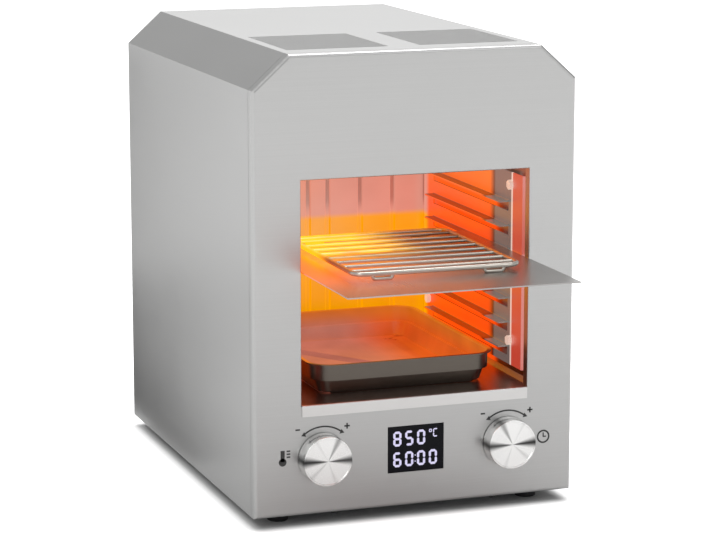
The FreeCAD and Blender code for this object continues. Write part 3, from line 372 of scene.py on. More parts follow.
# %% Heat glow amount
depth_mask = between(glow_group, y, mouth_start, mouth_end)
facing_up = math_node(glow_group, "ABSOLUTE", own_parts(glow_group, "Normal")["Z"])
# Level faces, faces behind the racks and lines along the back wall's ribs get less glow: painted shade.
shelf = between(glow_group, facing_up, 0.4, 0.8, 0.0, shelf_shade)
behind_rack = between(glow_group, across, *rack_plane, 0.0, rack_back_shade)
rib_gap = math_node(glow_group, "ABSOLUTE", math_node(glow_group, "WRAP", math_node(
    glow_group, "SUBTRACT", across, rib_first), rib_pitch / 2, -rib_pitch / 2))
rib_line = between(glow_group, rib_gap, 2.2 * mm, 1.2 * mm, 0.0, rib_shade_depth)
above_tray = between(glow_group, z, tray_level, tray_level + 14 * mm)
rib_shade = product(glow_group, is_back, rib_line, above_tray)
lit_share = 1.0
for shade in (shelf, behind_rack, rib_shade):
    lit_share = product(glow_group, math_node(glow_group, "SUBTRACT", 1.0, shade), lit_share)
glow_coordinates = add_node(glow_group, "TexCoord").outputs["Object"]
flicker = math_node(glow_group, "MULTIPLY_ADD", noise(glow_group, glow_coordinates, 18.0), 0.5, 0.75)
wire(glow_group, product(glow_group, depth_mask, lit_share, flicker, glow_in.outputs["Strength"]),
     glow_out.inputs["Amount"])

# %% Heat glow on a finish
black = (0.0, 0.0, 0.0)
# Dark brown that the base colour runs to where the painted glow is strongest.
glow_dimmed_colour = (0.05, 0.02, 0.01)


def add_glow(tree, shader, strength):
    """Painted emission that follows the heat glow. The finish's own colour is dimmed where the painted
    glow is strong.
    """
    glow = place_group(tree, glow_group, strength=strength)
    lit = colour_mix(tree, glow.outputs["Amount"], black, glow.outputs["Colour"])
    wire(tree, lit, shader.inputs["Emission Color"])
    shader.inputs["Emission Strength"].default_value = 1.0
    base = shader.inputs["Base Color"]
    dim_share = math_node(tree, "MULTIPLY", glow.outputs["Amount"], 0.75, clamp=True)
    wire(tree, colour_mix(tree, dim_share, base.links[0].from_socket, glow_dimmed_colour), base)


# %% [markdown]
# ## Finishes
# One function makes all the brushed metals, because they differ only in tone, polish and
# grain. The others are mouldings, ceramic, wool and boards, each with its own fine texture.

# %% Metals
def brushed_metal(name, colour, roughness, lines=1500.0, glow=0.0):
    """Brushed sheet: fine lines in its tone, its roughness and its relief."""
    contrast = 0.10
    line_depth = 0.004 * mm
    material, tree, shader = new_material(name, colour, 1.0, roughness)
    grain = place_group(tree, grain_group, lines_per_metre=lines)
    tone = math_node(tree, "MULTIPLY_ADD", grain.outputs["Lines"], contrast, 1 - contrast * 0.75)
    tone = math_node(tree, "MULTIPLY_ADD", grain.outputs["Clouds"], contrast / 2, tone)
    shade = add_node(tree, "CombineColor")
    for socket in shade.inputs[:3]:
        wire(tree, tone, socket)
    tinted = colour_mix(tree, 1.0, colour, shade.outputs[0], "MULTIPLY")
    wire(tree, tinted, shader.inputs["Base Color"])
    rough = math_node(tree, "MULTIPLY_ADD", grain.outputs["Lines"], 0.12, roughness - 0.10)
    rough = math_node(tree, "MULTIPLY_ADD", grain.outputs["Clouds"], 0.08, rough)
    wire(tree, rough, shader.inputs["Roughness"])
    bump(tree, shader, grain.outputs["Lines"], line_depth)
    if glow:
        add_glow(tree, shader, glow)
    return material


def cloudy(name, colour, second, roughness, scale, metallic=0.0, depth=0.0, **sockets):
    """A plain moulded, cast or fibrous finish: two tones over noise, with fine relief."""
    material, tree, shader = new_material(name, colour, metallic, roughness, **sockets)
    place = add_node(tree, "TexCoord").outputs["Object"]
    clouds = noise(tree, place, scale, 4.0)
    mottled = colour_mix(tree, between(tree, clouds, 0.35, 0.65), colour, second)
    wire(tree, mottled, shader.inputs["Base Color"])
    uneven = math_node(tree, "MULTIPLY_ADD", clouds, 0.2, roughness - 0.1)
    wire(tree, uneven, shader.inputs["Roughness"])
    if depth:
        bump(tree, shader, noise(tree, place, scale * 6), depth * mm)
    return material


finishes = {
    "brushed_steel": brushed_metal("brushed_steel", (0.56, 0.56, 0.555), 0.36),
    "cavity_steel": brushed_metal("cavity_steel", (0.42, 0.38, 0.36), 0.32, glow=0.85),
    "rack_steel": brushed_metal("rack_steel", (0.26, 0.27, 0.26), 0.36, glow=0.95),
    "tray_steel": brushed_metal("tray_steel", (0.42, 0.41, 0.40), 0.30, lines=1100.0),
    "pan_steel": brushed_metal("pan_steel", (0.16, 0.14, 0.12), 0.36),
    "shaft_metal": brushed_metal("shaft_metal", (0.55, 0.55, 0.54), 0.3),
    "galvanised": cloudy("galvanised", (0.50, 0.52, 0.54), (0.62, 0.64, 0.66), 0.42, 90.0, metallic=1.0),
    "zinc_fastener": cloudy("zinc_fastener", (0.66, 0.66, 0.64), (0.74, 0.74, 0.72), 0.3, 300.0,
                            metallic=1.0),
    "foot_rubber": cloudy("foot_rubber", (0.012, 0.012, 0.013), (0.02, 0.02, 0.021), 0.62, 250.0,
                          depth=0.02),
    "heater_ceramic": cloudy("heater_ceramic", (0.72, 0.68, 0.6), (0.6, 0.5, 0.4), 0.8, 60.0,
                             depth=0.05),
    "insulation": cloudy("insulation", (0.78, 0.75, 0.66), (0.62, 0.58, 0.5), 0.95, 120.0, depth=0.2),
    "display_body": cloudy("display_body", (0.02, 0.02, 0.022), (0.03, 0.03, 0.032), 0.5, 150.0),
    "circuit_board": cloudy("circuit_board", (0.01, 0.09, 0.035), (0.015, 0.12, 0.05), 0.4, 220.0),
    "black_plastic": cloudy("black_plastic", (0.018, 0.018, 0.019), (0.027, 0.027, 0.028), 0.42, 400.0,
                            depth=0.01),
    "relay_plastic": cloudy("relay_plastic", (0.02, 0.06, 0.22), (0.025, 0.075, 0.26), 0.35, 200.0),
    "terminal_plastic": cloudy("terminal_plastic", (0.72, 0.70, 0.64), (0.8, 0.78, 0.72), 0.45, 200.0),
    "inlet_brass": cloudy("inlet_brass", (0.78, 0.74, 0.66), (0.85, 0.8, 0.7), 0.25, 300.0, metallic=1.0),
}

# %% [markdown]
# Behind its mouth each rack gets painted light as emission: cool grey on a plain stretch, dull
# red glow on a strip, and a painted highlight on the fold between them. A mask for each, from the object's
# y, paints them.

# %% Rack edge
# Emission colours painted on the rack front: cool grey light, dull red glow and a fold highlight.
painted_cool_light = (0.10, 0.095, 0.09)
painted_red_glow = (0.48, 0.05, 0.03)
painted_fold_highlight = (0.70, 0.52, 0.46)


def paint_rack_edge_light(material):
    """Paints cool grey light, dull red glow and a highlight line on the fold, as emission, on the front of
    the racks.
    """
    tree = material.node_tree
    emission = tree.nodes["Principled BSDF"].inputs["Emission Color"]
    y = own_parts(tree)["Y"]
    fold = panel_face + 37 * mm
    plain = between(tree, y, fold + 38 * mm, fold + 34 * mm)
    strip = between(tree, y, fold, fold - 1 * mm)
    off_fold = math_node(tree, "ABSOLUTE", math_node(tree, "SUBTRACT", y, fold))
    line = between(tree, off_fold, 2.2 * mm, 0.8 * mm)
    glow = emission.links[0].from_socket
    for mask, colour in ((plain, painted_cool_light), (strip, painted_red_glow), (line, painted_fold_highlight)):
        glow = colour_mix(tree, mask, glow, colour)
    wire(tree, glow, emission)


paint_rack_edge_light(finishes["rack_steel"])

# %% [markdown]
# The liner's floor ends in a lip that folds down over the panel. The lip is painted a pale
# bright colour, a painted highlight on the fold, while inside the colour is dimmed where the painted glow
# falls.

# %% Bright floor lip
def paint_lip_highlight(material):
    """Paints the part of the liner outside the panel a bright colour, a painted highlight."""
    tree = material.node_tree
    base = tree.nodes["Principled BSDF"].inputs["Base Color"]
    outside = between(tree, own_parts(tree)["Y"], panel_face + 3 * mm, panel_face + 1 * mm)
    # Pale colour outside the panel: a painted highlight.
    wire(tree, colour_mix(tree, outside, base.links[0].from_socket, (0.74, 0.73, 0.72)), base)


paint_lip_highlight(finishes["cavity_steel"])

# %% [markdown]
# The tray and the pan get painted glow, as emission, by rules of their own: the tray on its
# left and towards the back, and the pan on the inside, everywhere behind its front wall.

# %% Tray and pan glow
def own_glow(material, amount_of, colour_of, strength):
    """Adds painted glow, as emission, whose amount and colour two rules work out from the object's
    coordinates.
    """
    tree = material.node_tree
    shader = tree.nodes["Principled BSDF"]
    place = own_parts(tree)
    lit = colour_mix(tree, amount_of(tree, *place), black, colour_of(tree, *place))
    wire(tree, lit, shader.inputs["Emission Color"])
    shader.inputs["Emission Strength"].default_value = strength


def tray_amount(tree, x, y, z):
    left = between(tree, x, 0.05, -0.075)
    deep = between(tree, y, tray_low.y - 30 * mm, tray_low.y + 110 * mm)
    return product(tree, left, deep)


def tray_colour(tree, x, y, z):
    deep = between(tree, y, tray_low.y + 20 * mm, tray_low.y + 110 * mm)
    return colour_mix(tree, deep, (0.85, 0.17, 0.09), (0.95, 0.13, 0.0))


pan_low, pan_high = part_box("drip_pan")


def pan_amount(tree, x, y, z):
    inside = between(tree, y, pan_low.y + 9 * mm, pan_low.y + 20 * mm)
    facing = own_parts(tree, "Normal")
    off_middle = math_node(tree, "SUBTRACT", y, (pan_low.y + pan_high.y) / 2)
    faces_out = math_node(tree, "MULTIPLY_ADD", facing["Y"], off_middle, product(tree, facing["X"], x))
    inner_face = between(tree, faces_out, 20 * mm, 0.0)
    pan_coordinates = add_node(tree, "TexCoord").outputs["Object"]
    flicker = between(tree, noise(tree, pan_coordinates, 24.0), 0.2, 0.8, 0.7, 1.0)
    return product(tree, inside, inner_face, flicker)


def pan_colour(tree, x, y, z):
    right = between(tree, x, 0.01, 0.06)
    low_part = colour_mix(tree, right, (0.58, 0.17, 0.12), (0.80, 0.09, 0.01))
    return colour_mix(tree, between(tree, z, pan_low.z + 8 * mm, pan_high.z), low_part, (0.75, 0.16, 0.01))


own_glow(finishes["tray_steel"], tray_amount, tray_colour, 0.75)
own_glow(finishes["pan_steel"], pan_amount, pan_colour, 0.8)

# %% [markdown]
# The display lens is smoked glass that reads as gloss black, so a black base with a low
# roughness and little shine stands in for it without any see-through cost. The element and
# the digits give light of their own.

# %% Lens, element and lit digits
lens, lens_tree, lens_shader = new_material("display_lens", (0.003, 0.003, 0.006), 0.0, 0.08,
                                             Specular_IOR_Level=0.15)
lens_dust = noise(lens_tree, add_node(lens_tree, "TexCoord").outputs["Object"], 130.0)
wire(lens_tree, math_node(lens_tree, "MULTIPLY_ADD", lens_dust, 0.06, 0.05),
     lens_shader.inputs["Roughness"])
finishes["display_lens"] = lens

element, element_tree, element_shader = new_material("element_glow", (0.10, 0.03, 0.02), 0.4, 0.55)
heat_noise = noise(element_tree, add_node(element_tree, "TexCoord").outputs["Object"], 30.0)
wire(element_tree, colour_mix(element_tree, heat_noise, (1.0, 0.16, 0.01), (1.0, 0.42, 0.06)),
     element_shader.inputs["Emission Color"])
element_shader.inputs["Emission Strength"].default_value = 3.0
finishes["element_glow"] = element

digit_ink, digit_tree, digit_shader = new_material("digit_light", (0.3, 0.3, 0.36), 0.0, 0.5)
digit_noise = noise(digit_tree, add_node(digit_tree, "TexCoord").outputs["Object"], 160.0)
wire(digit_tree, colour_mix(digit_tree, digit_noise, (0.46, 0.42, 0.70), (0.70, 0.68, 0.88)),
     digit_shader.inputs["Emission Color"])
digit_shader.inputs["Emission Strength"].default_value = 0.85

sign_ink = cloudy("sign_ink", (0.03, 0.03, 0.03), (0.05, 0.05, 0.05), 0.55, 500.0)

# %% [markdown]
# ## Finishes on the frame
# Each CAD node keeps its shape and gets the finish that the record names for it. The base
# screws are blackened, so they don't shine beside the feet, and the rack screws get pale painted light as
# emission.

# %% Dress the CAD nodes
for name, node in nodes.items():
    slot = node.data.materials[0].name.split(".")[0]
    if slot in finishes:
        node.data.materials.clear()
        node.data.materials.append(finishes[slot])
print("finishes ready for the frame:", len(finishes))

# %% Screws
blackened = cloudy("zinc_fastener_black", (0.02, 0.02, 0.02), (0.03, 0.03, 0.03), 0.5, 300.0)
# The rack screws glow pale: painted light, as emission.
fastener_painted_light = cloudy("zinc_fastener_painted_light", (0.7, 0.66, 0.6), (0.78, 0.74, 0.68), 0.4, 300.0,
                Emission_Color=(0.62, 0.50, 0.42, 1.0), Emission_Strength=0.7)
for name, material in (("base_screws", blackened), ("rack_screws", fastener_painted_light)):
    nodes[name].data.materials.clear()
    nodes[name].data.materials.append(material)

# %% [markdown]
# ## Turned knobs
# A real knob is turned from bar: a flat face spun with fine rings, a thin bright edge and a
# side with a slight taper. The CAD knob is faceted, so a round one takes its place.
# The face is inset and stepped so that its edge catches the light. A spun face shows dark
# wedges where nothing bright is mirrored. They are painted by angle about the knob's middle.

# %% Knob finish
knob_steel, knob_tree, knob_shader = new_material("knob_metal", (0.84, 0.84, 0.83), 1.0, 0.24,
                                                  Anisotropic=0.75)
knob_rings = add_node(knob_tree, "TexWave", wave_type="RINGS", rings_direction="Y")
knob_place = add_node(knob_tree, "TexCoord").outputs["Object"]
mirror_x = add_node(knob_tree, "VectorMath", operation="ABSOLUTE")
wire(knob_tree, knob_place, mirror_x.inputs[0])
centred = add_node(knob_tree, "Mapping")
knob_low, knob_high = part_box("knob_left")
knob_centre = (knob_low + knob_high) / 2
centred.inputs["Location"].default_value = (-abs(knob_centre.x), 0.0, -knob_centre.z)
wire(knob_tree, mirror_x.outputs[0], centred.inputs["Vector"])
wire(knob_tree, centred.outputs[0], knob_rings.inputs["Vector"])
knob_rings.inputs["Scale"].default_value = 420.0
bump(knob_tree, knob_shader, knob_rings.outputs["Fac"], 0.01 * mm)

# %% Knob wedges
knob_polar = add_node(knob_tree, "SeparateXYZ")
wire(knob_tree, centred.outputs[0], knob_polar.inputs[0])
knob_radians = math_node(knob_tree, "ARCTAN2", knob_polar.outputs["Z"], knob_polar.outputs["X"])
knob_angle = product(knob_tree, knob_radians, 180 / math.pi)
knob_wedges = 0.0
for wedge_angle, wedge_half, wedge_depth in ((2, 19, 1.0), (60, 8, 0.12), (118, 13, 0.6),
                                             (180, 17, 0.95), (-42, 11, 0.22), (-110, 9, 0.15)):
    gap = math_node(knob_tree, "SUBTRACT", knob_angle, wedge_angle)
    gap = math_node(knob_tree, "WRAP", gap, 180.0, -180.0)
    shade = between(knob_tree, math_node(knob_tree, "ABSOLUTE", gap), wedge_half, 0.0, 0.0, wedge_depth)
    knob_wedges = math_node(knob_tree, "ADD", shade, knob_wedges)
wire(knob_tree, colour_mix(knob_tree, knob_wedges, (1.0, 1.0, 0.99), (0.05, 0.05, 0.05)),
     knob_shader.inputs["Base Color"])
knob_tangent = add_node(knob_tree, "Tangent", direction_type="RADIAL", axis="Y")
wire(knob_tree, knob_tangent.outputs[0], knob_shader.inputs["Tangent"])
finishes["knob_metal"] = knob_steel


# %% Knobs
knob_taper = 0.975
knob_edge = 0.5 * mm
knob_rim = 0.9 * mm
knob_groove = 0.25 * mm
knob_wall = 1.4 * mm
knob_hollow = 4 * mm


def turned_knob(side):
    """A round knob in the place of the faceted one, hollowed at the back for its shaft."""
    low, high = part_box("knob_" + side)
    middle = (low + high) / 2
    radius = (high.z - low.z) / 2
    knob = cylinder(radius, (middle.x, high.y, middle.z), (middle.x, low.y, middle.z), sides=96)
    knob.name = "turned_knob_" + side
    edit(knob)
    pick(knob, "FACE", lambda face: face.normal.y < -0.9)
    bpy.ops.transform.resize(value=(knob_taper, 1, knob_taper))
    bpy.ops.mesh.bevel(offset=knob_edge, segments=3)
    pick(knob, "FACE", lambda face: face.normal.y < -0.9 and len(face.verts) > 20)
    for step, sink in ((knob_rim, 0), (knob_groove, knob_groove), (radius / 2, 0)):
        bpy.ops.mesh.inset(thickness=step, depth=-sink)
    pick(knob, "FACE", lambda face: face.normal.y > 0.9)
    bpy.ops.mesh.inset(thickness=knob_wall)
    bpy.ops.mesh.inset(thickness=0.01 * mm, depth=-knob_hollow)
    done(knob)
    smooth(knob, 35)
    return finish(knob, "knob_" + side, "knob_metal", knob_steel, "knob_" + side)


for side in ("left", "right"):
    turned_knob(side)

# %% [markdown]
# ## The wire grate
# Round wire bent into a frame, with cross bars welded on. A flat outline whose corners are
# rounded becomes a curve with thickness, which keeps the wire round through every bend.

# %% Grate finish
wire_metal, wire_tree, wire_shader = new_material("grate_wire", (0.62, 0.58, 0.52), 1.0, 0.28)
wire_place = own_parts(wire_tree)
# Painted orange glow, as emission, on the wire's left and deeper part.
wire_left = between(wire_tree, wire_place["X"], 0.03, -0.02)
wire_deep = between(wire_tree, wire_place["Y"], panel_face + 6 * mm, panel_face + 45 * mm)
wire_coordinates = add_node(wire_tree, "TexCoord").outputs["Object"]
wire_flicker = between(wire_tree, noise(wire_tree, wire_coordinates, 35.0), 0.3, 0.55, 0.55, 1.0)
wire_painted_glow = product(wire_tree, wire_left, wire_deep, wire_flicker)
wire(wire_tree, colour_mix(wire_tree, wire_painted_glow, black, (1.0, 0.58, 0.0)),
     wire_shader.inputs["Emission Color"])
wire_shader.inputs["Emission Strength"].default_value = 0.9
finishes["grate_wire"] = wire_metal

# %% Heater guard
nodes["heater_guard"].data.materials.clear()
nodes["heater_guard"].data.materials.append(wire_metal)

# %% Grate
grate_low, grate_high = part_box("grill_grate")
frame_wire = 2.0 * mm
bar_wire = 1.5 * mm
bar_pitch = 19 * mm
frame_corner = 10 * mm
leg_span = 16 * mm
leg_inset = 12 * mm
leg_corner = 2.2 * mm
leg_height = 4.0 * mm


def round_wire(piece, radius):
    """Turns a mesh of bare edges into round wire."""
    only(piece)
    bpy.ops.object.convert(target="CURVE")
    piece.data.bevel_depth = radius
    piece.data.bevel_resolution = 3
    piece.data.use_fill_caps = True
    bpy.ops.object.convert(target="MESH")
    return outward(piece)


def bent_outline(width, length, centre, corner):
    """A level rectangle of edges with round corners."""
    bpy.ops.mesh.primitive_plane_add(size=1, location=centre)
    outline = bpy.context.object
    outline.scale = (width, length, 1)
    settle(outline)
    edit(outline)
    bpy.ops.mesh.select_all(action="SELECT")
    bpy.ops.mesh.delete(type="ONLY_FACE")
    bpy.ops.mesh.select_all(action="SELECT")
    bpy.ops.mesh.bevel(offset=corner, segments=6, affect="VERTICES")
    return done(outline)


def staple(middle, span, height, corner):
    """A row of edges down, along and up again, hanging from middle."""
    bpy.ops.mesh.primitive_plane_add(size=1, location=middle - Vector((0, 0, height / 2)),
                                     rotation=(math.pi / 2, 0, 0))
    outline = bpy.context.object
    outline.scale = (span, height, 1)
    settle(outline)
    edit(outline)
    pick(outline, "EDGE", lambda edge: all(v.co.z > middle.z - corner / 2 for v in edge.verts))
    bpy.ops.mesh.delete(type="EDGE")
    pick(outline, "VERT", lambda vert: vert.co.z < middle.z - corner / 2)
    bpy.ops.mesh.bevel(offset=corner, segments=4, affect="VERTICES")
    return done(outline)


grate_size = grate_high - grate_low
grate_middle = (grate_low + grate_high) / 2
wire_level = grate_high.z - frame_wire
outline_width = grate_size.x - 2 * frame_wire
outline_length = grate_size.y - 2 * frame_wire
frame_centre = (grate_middle.x, grate_middle.y, wire_level)
outline = bent_outline(outline_width, outline_length, frame_centre, frame_corner)
grate_wires = [round_wire(outline, frame_wire)]
bar_count = int((outline_length - 2 * frame_corner) // bar_pitch) + 1
for n in range(bar_count):
    bar_y = grate_middle.y + bar_pitch * (n - (bar_count - 1) / 2)
    grate_wires.append(cylinder(bar_wire, (-outline_width / 2, bar_y, wire_level),
                                (outline_width / 2, bar_y, wire_level), sides=12))
for side in (-1, 1):
    for end in (-1, 1):
        hanger = Vector((side * (outline_width / 2 - frame_corner - leg_inset),
                         grate_middle.y + end * outline_length / 2, wire_level))
        grate_wires.append(round_wire(staple(hanger, leg_span, leg_height, leg_corner), bar_wire))
grate = smooth(joined(grate_wires, "wire_grate"), 40)
finish(grate, "grate", "grate_wire", wire_metal, "grill_grate")

# %% [markdown]
# ## The drip pan
# A press draws the pan from one sheet, so all its corners are round. A flat outline becomes
# the rim, and insets and extrusions carry it down the wall, over the step and to the floor.

# %% Pan
pan_rim = 3 * mm
pan_corner = 20 * mm
pan_sheet = 1 * mm
pan_step_height = 11.6 * mm
pan_step = 3 * mm
pan_foot_inset = 5 * mm
pan_size = pan_high - pan_low
pan_middle = (pan_low + pan_high) / 2
bpy.ops.mesh.primitive_plane_add(size=1, location=(pan_middle.x, pan_middle.y, pan_high.z))
pan = bpy.context.object
pan.scale = (pan_size.x, pan_size.y, 1)
settle(pan).name = "pressed_pan"
edit(pan)
bpy.ops.mesh.select_all(action="SELECT")
bpy.ops.mesh.bevel(offset=pan_corner, segments=10, affect="VERTICES")
pick(pan, "FACE", lambda face: True)
pan_depth = pan_size.z - pan_sheet
rim_turn = 0.8 * mm
foot_turn = 1.6 * mm
for rim_inset, drop in ((pan_rim, 0), (rim_turn, rim_turn),
                        (0.01 * mm, pan_depth - pan_step_height - rim_turn),
                        (pan_step, 0), (pan_foot_inset - foot_turn, pan_step_height - foot_turn),
                        (foot_turn, foot_turn), (20 * mm, 0)):
    bpy.ops.mesh.inset(thickness=rim_inset, depth=-drop)
done(pan)
pan_wall = pan.modifiers.new("sheet", "SOLIDIFY")
pan_wall.thickness = pan_sheet
pan_wall.offset = -1
only(pan)
bpy.ops.object.modifier_apply(modifier="sheet")
outward(pan)
finish(smooth(pan, 35), "pan", "pan_steel", finishes["pan_steel"], "drip_pan")

# %% [markdown]
# ## Soft feet
# Moulded feet have a rounded lower edge that a faceted cone can't show. The ring below is
# bevelled in several steps, and a small recess in the tread hides the screw.

# %% Feet
foot_taper = 0.93
foot_edge = 1.2 * mm
tread_ring = 3.6 * mm
tread_recess = 1.6 * mm
for name in ("foot_1", "foot_2", "foot_3", "foot_4"):
    low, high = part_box(name)
    middle = (low + high) / 2
    foot = cylinder((high.x - low.x) / 2, (middle.x, middle.y, low.z), (middle.x, middle.y, high.z),
                    sides=48)
    foot.name = "soft_" + name
    edit(foot)
    pick(foot, "FACE", lambda face: face.normal.z < -0.9)
    bpy.ops.transform.resize(value=(foot_taper, foot_taper, 1))
    bpy.ops.mesh.bevel(offset=foot_edge, segments=4)
    pick(foot, "FACE", lambda face: face.normal.z < -0.9 and len(face.verts) > 20)
    bpy.ops.mesh.inset(thickness=tread_ring)
    bpy.ops.mesh.inset(thickness=0.3 * mm, depth=-tread_recess)
    done(foot)
    finish(smooth(foot, 40), "housing", "foot_rubber", finishes["foot_rubber"], name)

# %% [markdown]
# ## Lit digits
# A segment display makes every figure from seven bars. One bar is shaped once, with pointed
# ends, and each figure takes copies of it. They sit a hair in front of the lens.

# %% Digits
digit_height = 12.2 * mm
digit_width = 7.0 * mm
bar_thick = 1.9 * mm
digit_plane = window_low.y - 0.06 * mm
segments = {"a": (0, 1, "across"), "b": (1, 0.5, "up"), "c": (1, -0.5, "up"), "d": (0, -1, "across"),
            "e": (-1, -0.5, "up"), "f": (-1, 0.5, "up"), "g": (0, 0, "across")}
figures = {"0": "abcdef", "5": "acdfg", "6": "acdefg", "8": "abcdefg", "C": "adef"}


def light_bar(x, z, length, thick, upright):
    """One lit bar: a flat plate with pointed ends."""
    bpy.ops.mesh.primitive_plane_add(size=1, location=(x, digit_plane, z), rotation=(math.pi / 2, 0, 0))
    bar = bpy.context.object
    bar.scale = (thick, length, 1) if upright else (length, thick, 1)
    settle(bar)
    edit(bar)
    bpy.ops.mesh.select_all(action="SELECT")
    bpy.ops.mesh.bevel(offset=thick * 0.42, segments=1, affect="VERTICES")
    return done(bar)


def figure(sign, left, bottom, width, height, thick):
    """The lit bars of one figure."""
    bars = []
    for key in figures[sign]:
        side, level, way = segments[key]
        x = left + width / 2 + side * (width - thick) / 2
        z = bottom + height / 2 + level * (height - thick) / 2
        length = (width - thick * 1.2) if way == "across" else (height / 2 - thick * 0.7)
        bars.append(light_bar(x, z, length, thick, way == "up"))
    return bars


# %% Rows
first_left = -19.4 * mm
digit_pitch = 10.1 * mm
degree_x, degree_z = 12.2 * mm, panel_low.z + 60 * mm
colon_x = -0.7 * mm
lit = []
for row, bottom in (("850", panel_low.z + 49.2 * mm), ("6000", panel_low.z + 32.2 * mm)):
    for order, sign in enumerate(row):
        left = first_left + digit_pitch * order
        lit += figure(sign, left, bottom, digit_width, digit_height, bar_thick)
lit += figure("C", 14.4 * mm, panel_low.z + 54.6 * mm, 4.2 * mm, 7.0 * mm, 1.0 * mm)
for off in (-1.0 * mm, 1.0 * mm):
    lit.append(light_bar(degree_x, degree_z + off, 2.2 * mm, 0.7 * mm, False))
for off in (-0.9 * mm, 0.9 * mm):
    lit.append(light_bar(degree_x + off, degree_z, 1.8 * mm, 0.7 * mm, True))
for level in (35.9 * mm, 40.9 * mm):
    lit.append(light_bar(colon_x, panel_low.z + level, 1.1 * mm, 1.1 * mm, True))
digits = joined(lit, "display_digits")
edit(digits)
bpy.ops.mesh.select_all(action="SELECT")
bpy.ops.mesh.extrude_region_move(TRANSFORM_OT_translate={"value": (0, -0.08 * mm, 0)})
done(digits)
outward(digits)
finish(digits, "housing", "display_lens", digit_ink)

# %% [markdown]
# ## Printed signs
# Dark ink on the panel marks each dial: an arc with an arrow head at both ends, a minus and
# a plus. Beside the dials stand a thermometer and a ring like a timer. Ink has no depth to
# speak of, so these are thin plates a few hundredths of a millimetre proud of the steel.

# %% Signs
ink_plane = panel_face - 0.05 * mm
line_wide = 1.3 * mm
signs = []


def plate(x, z, width, height):
    """A small flat patch of ink."""
    bpy.ops.mesh.primitive_plane_add(size=1, location=(x, ink_plane, z), rotation=(math.pi / 2, 0, 0))
    patch = bpy.context.object
    patch.scale = (width, height, 1)
    signs.append(settle(patch))


def arc(x, z, radius, start, end, wide):
    """A ring of ink cut down to the part between two angles."""
    bpy.ops.mesh.primitive_circle_add(vertices=120, radius=radius - wide / 2, fill_type="NOTHING",
                                      location=(x, ink_plane, z), rotation=(math.pi / 2, 0, 0))
    ring = settle(bpy.context.object)
    edit(ring)

    def outside(vert):
        angle = math.degrees(math.atan2(vert.co.z - z, vert.co.x - x)) % 360
        return not start <= angle <= end
    pick(ring, "VERT", outside)
    bpy.ops.mesh.delete(type="VERT")
    bpy.ops.mesh.select_all(action="SELECT")
    grow = (radius + wide / 2) / (radius - wide / 2)
    bpy.ops.mesh.extrude_edges_move()
    bpy.ops.transform.resize(value=(grow, 1, grow), center_override=(x, ink_plane, z))
    signs.append(done(ring))


def arrow(x, z, turn, size=4.8 * mm):
    """A filled triangle that points along turn."""
    bpy.ops.mesh.primitive_circle_add(vertices=3, radius=size / 2, fill_type="NGON",
                                      location=(x, ink_plane, z), rotation=(math.pi / 2, 0, 0))
    head = settle(bpy.context.object)
    edit(head)
    bpy.ops.mesh.select_all(action="SELECT")
    bpy.ops.transform.rotate(value=math.pi / 2 - turn, orient_axis="Y",
                             center_override=(x, ink_plane, z))
    signs.append(done(head))


# %% Signs round the dials
sign_radius = 25.3 * mm
sign_half_turn = 38.5
mark_rise = 24.2 * mm
minus_off, minus_size = -20.8 * mm, 3.8 * mm
plus_off, plus_size = 20.2 * mm, 4.6 * mm
for side in ("left", "right"):
    low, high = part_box("knob_" + side)
    x, z = (low.x + high.x) / 2, (low.z + high.z) / 2
    arc(x, z, sign_radius, 90 - sign_half_turn, 90 + sign_half_turn, line_wide)
    for way in (-1, 1):
        angle = math.radians(90 - way * sign_half_turn)
        arrow(x + sign_radius * math.cos(angle), z + sign_radius * math.sin(angle),
              angle - way * math.pi / 2)
    plate(x + minus_off, z + mark_rise, minus_size, line_wide)
    plate(x + plus_off, z + mark_rise, plus_size, line_wide)
    plate(x + plus_off, z + mark_rise, line_wide, plus_size)

# %% Thermometer and timer
heat_x, heat_z = panel_low.x + 23.4 * mm, panel_low.z + 47.5 * mm
stem_width, stem_height = 3.4 * mm, 9.0 * mm
bulb_radius = 3.2 * mm
bulb_drop = 3.0 * mm
plate(heat_x, heat_z + 2.0 * mm, stem_width, stem_height)
bpy.ops.mesh.primitive_circle_add(vertices=32, radius=bulb_radius, fill_type="NGON",
                                  location=(heat_x, ink_plane, heat_z - bulb_drop),
                                  rotation=(math.pi / 2, 0, 0))
signs.append(settle(bpy.context.object))
for rise in (1.0 * mm, 3.4 * mm, 5.8 * mm):
    plate(heat_x + 4.8 * mm, heat_z + rise, 3.0 * mm, 1.2 * mm)
time_x, time_z = panel_high.x - 24.6 * mm, panel_low.z + 46.4 * mm
ring_radius, ring_wide = 4.9 * mm, 1.4 * mm
hand_wide = 1.1 * mm
arc(time_x, time_z, ring_radius, 0, 360, ring_wide)
plate(time_x, time_z + 1.6 * mm, hand_wide, 3.4 * mm)
plate(time_x + 1.1 * mm, time_z, 2.8 * mm, hand_wide)

# %% One mesh of ink
printed = joined(signs, "printed_signs")
edit(printed)
pick(printed, "FACE", lambda face: face.normal.y > 0)
bpy.ops.mesh.flip_normals()
done(printed)
finish(printed, "housing", "black_plastic", sign_ink)

# %% [markdown]
# ## Stage and light
# The floor and the backdrop are white to the camera and to reflections, while the floor
# still takes the grill's own shadow. Only near the casing does the floor give up its own
# light, so the shadow stays soft and close, as under a product on white paper. There its
# paint is darker too: a painted shadow.

# %% Floor
floor_size = 30
mirror_share = 0.6
mirror_near, mirror_far = 0.2, 1.5
shadow_reach = 26 * mm
shadow_inset = 10 * mm
casing_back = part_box("rear_panel")[1].y
casing_middle = (panel_low.y + casing_back) / 2
casing_half = (casing_back - panel_low.y) / 2


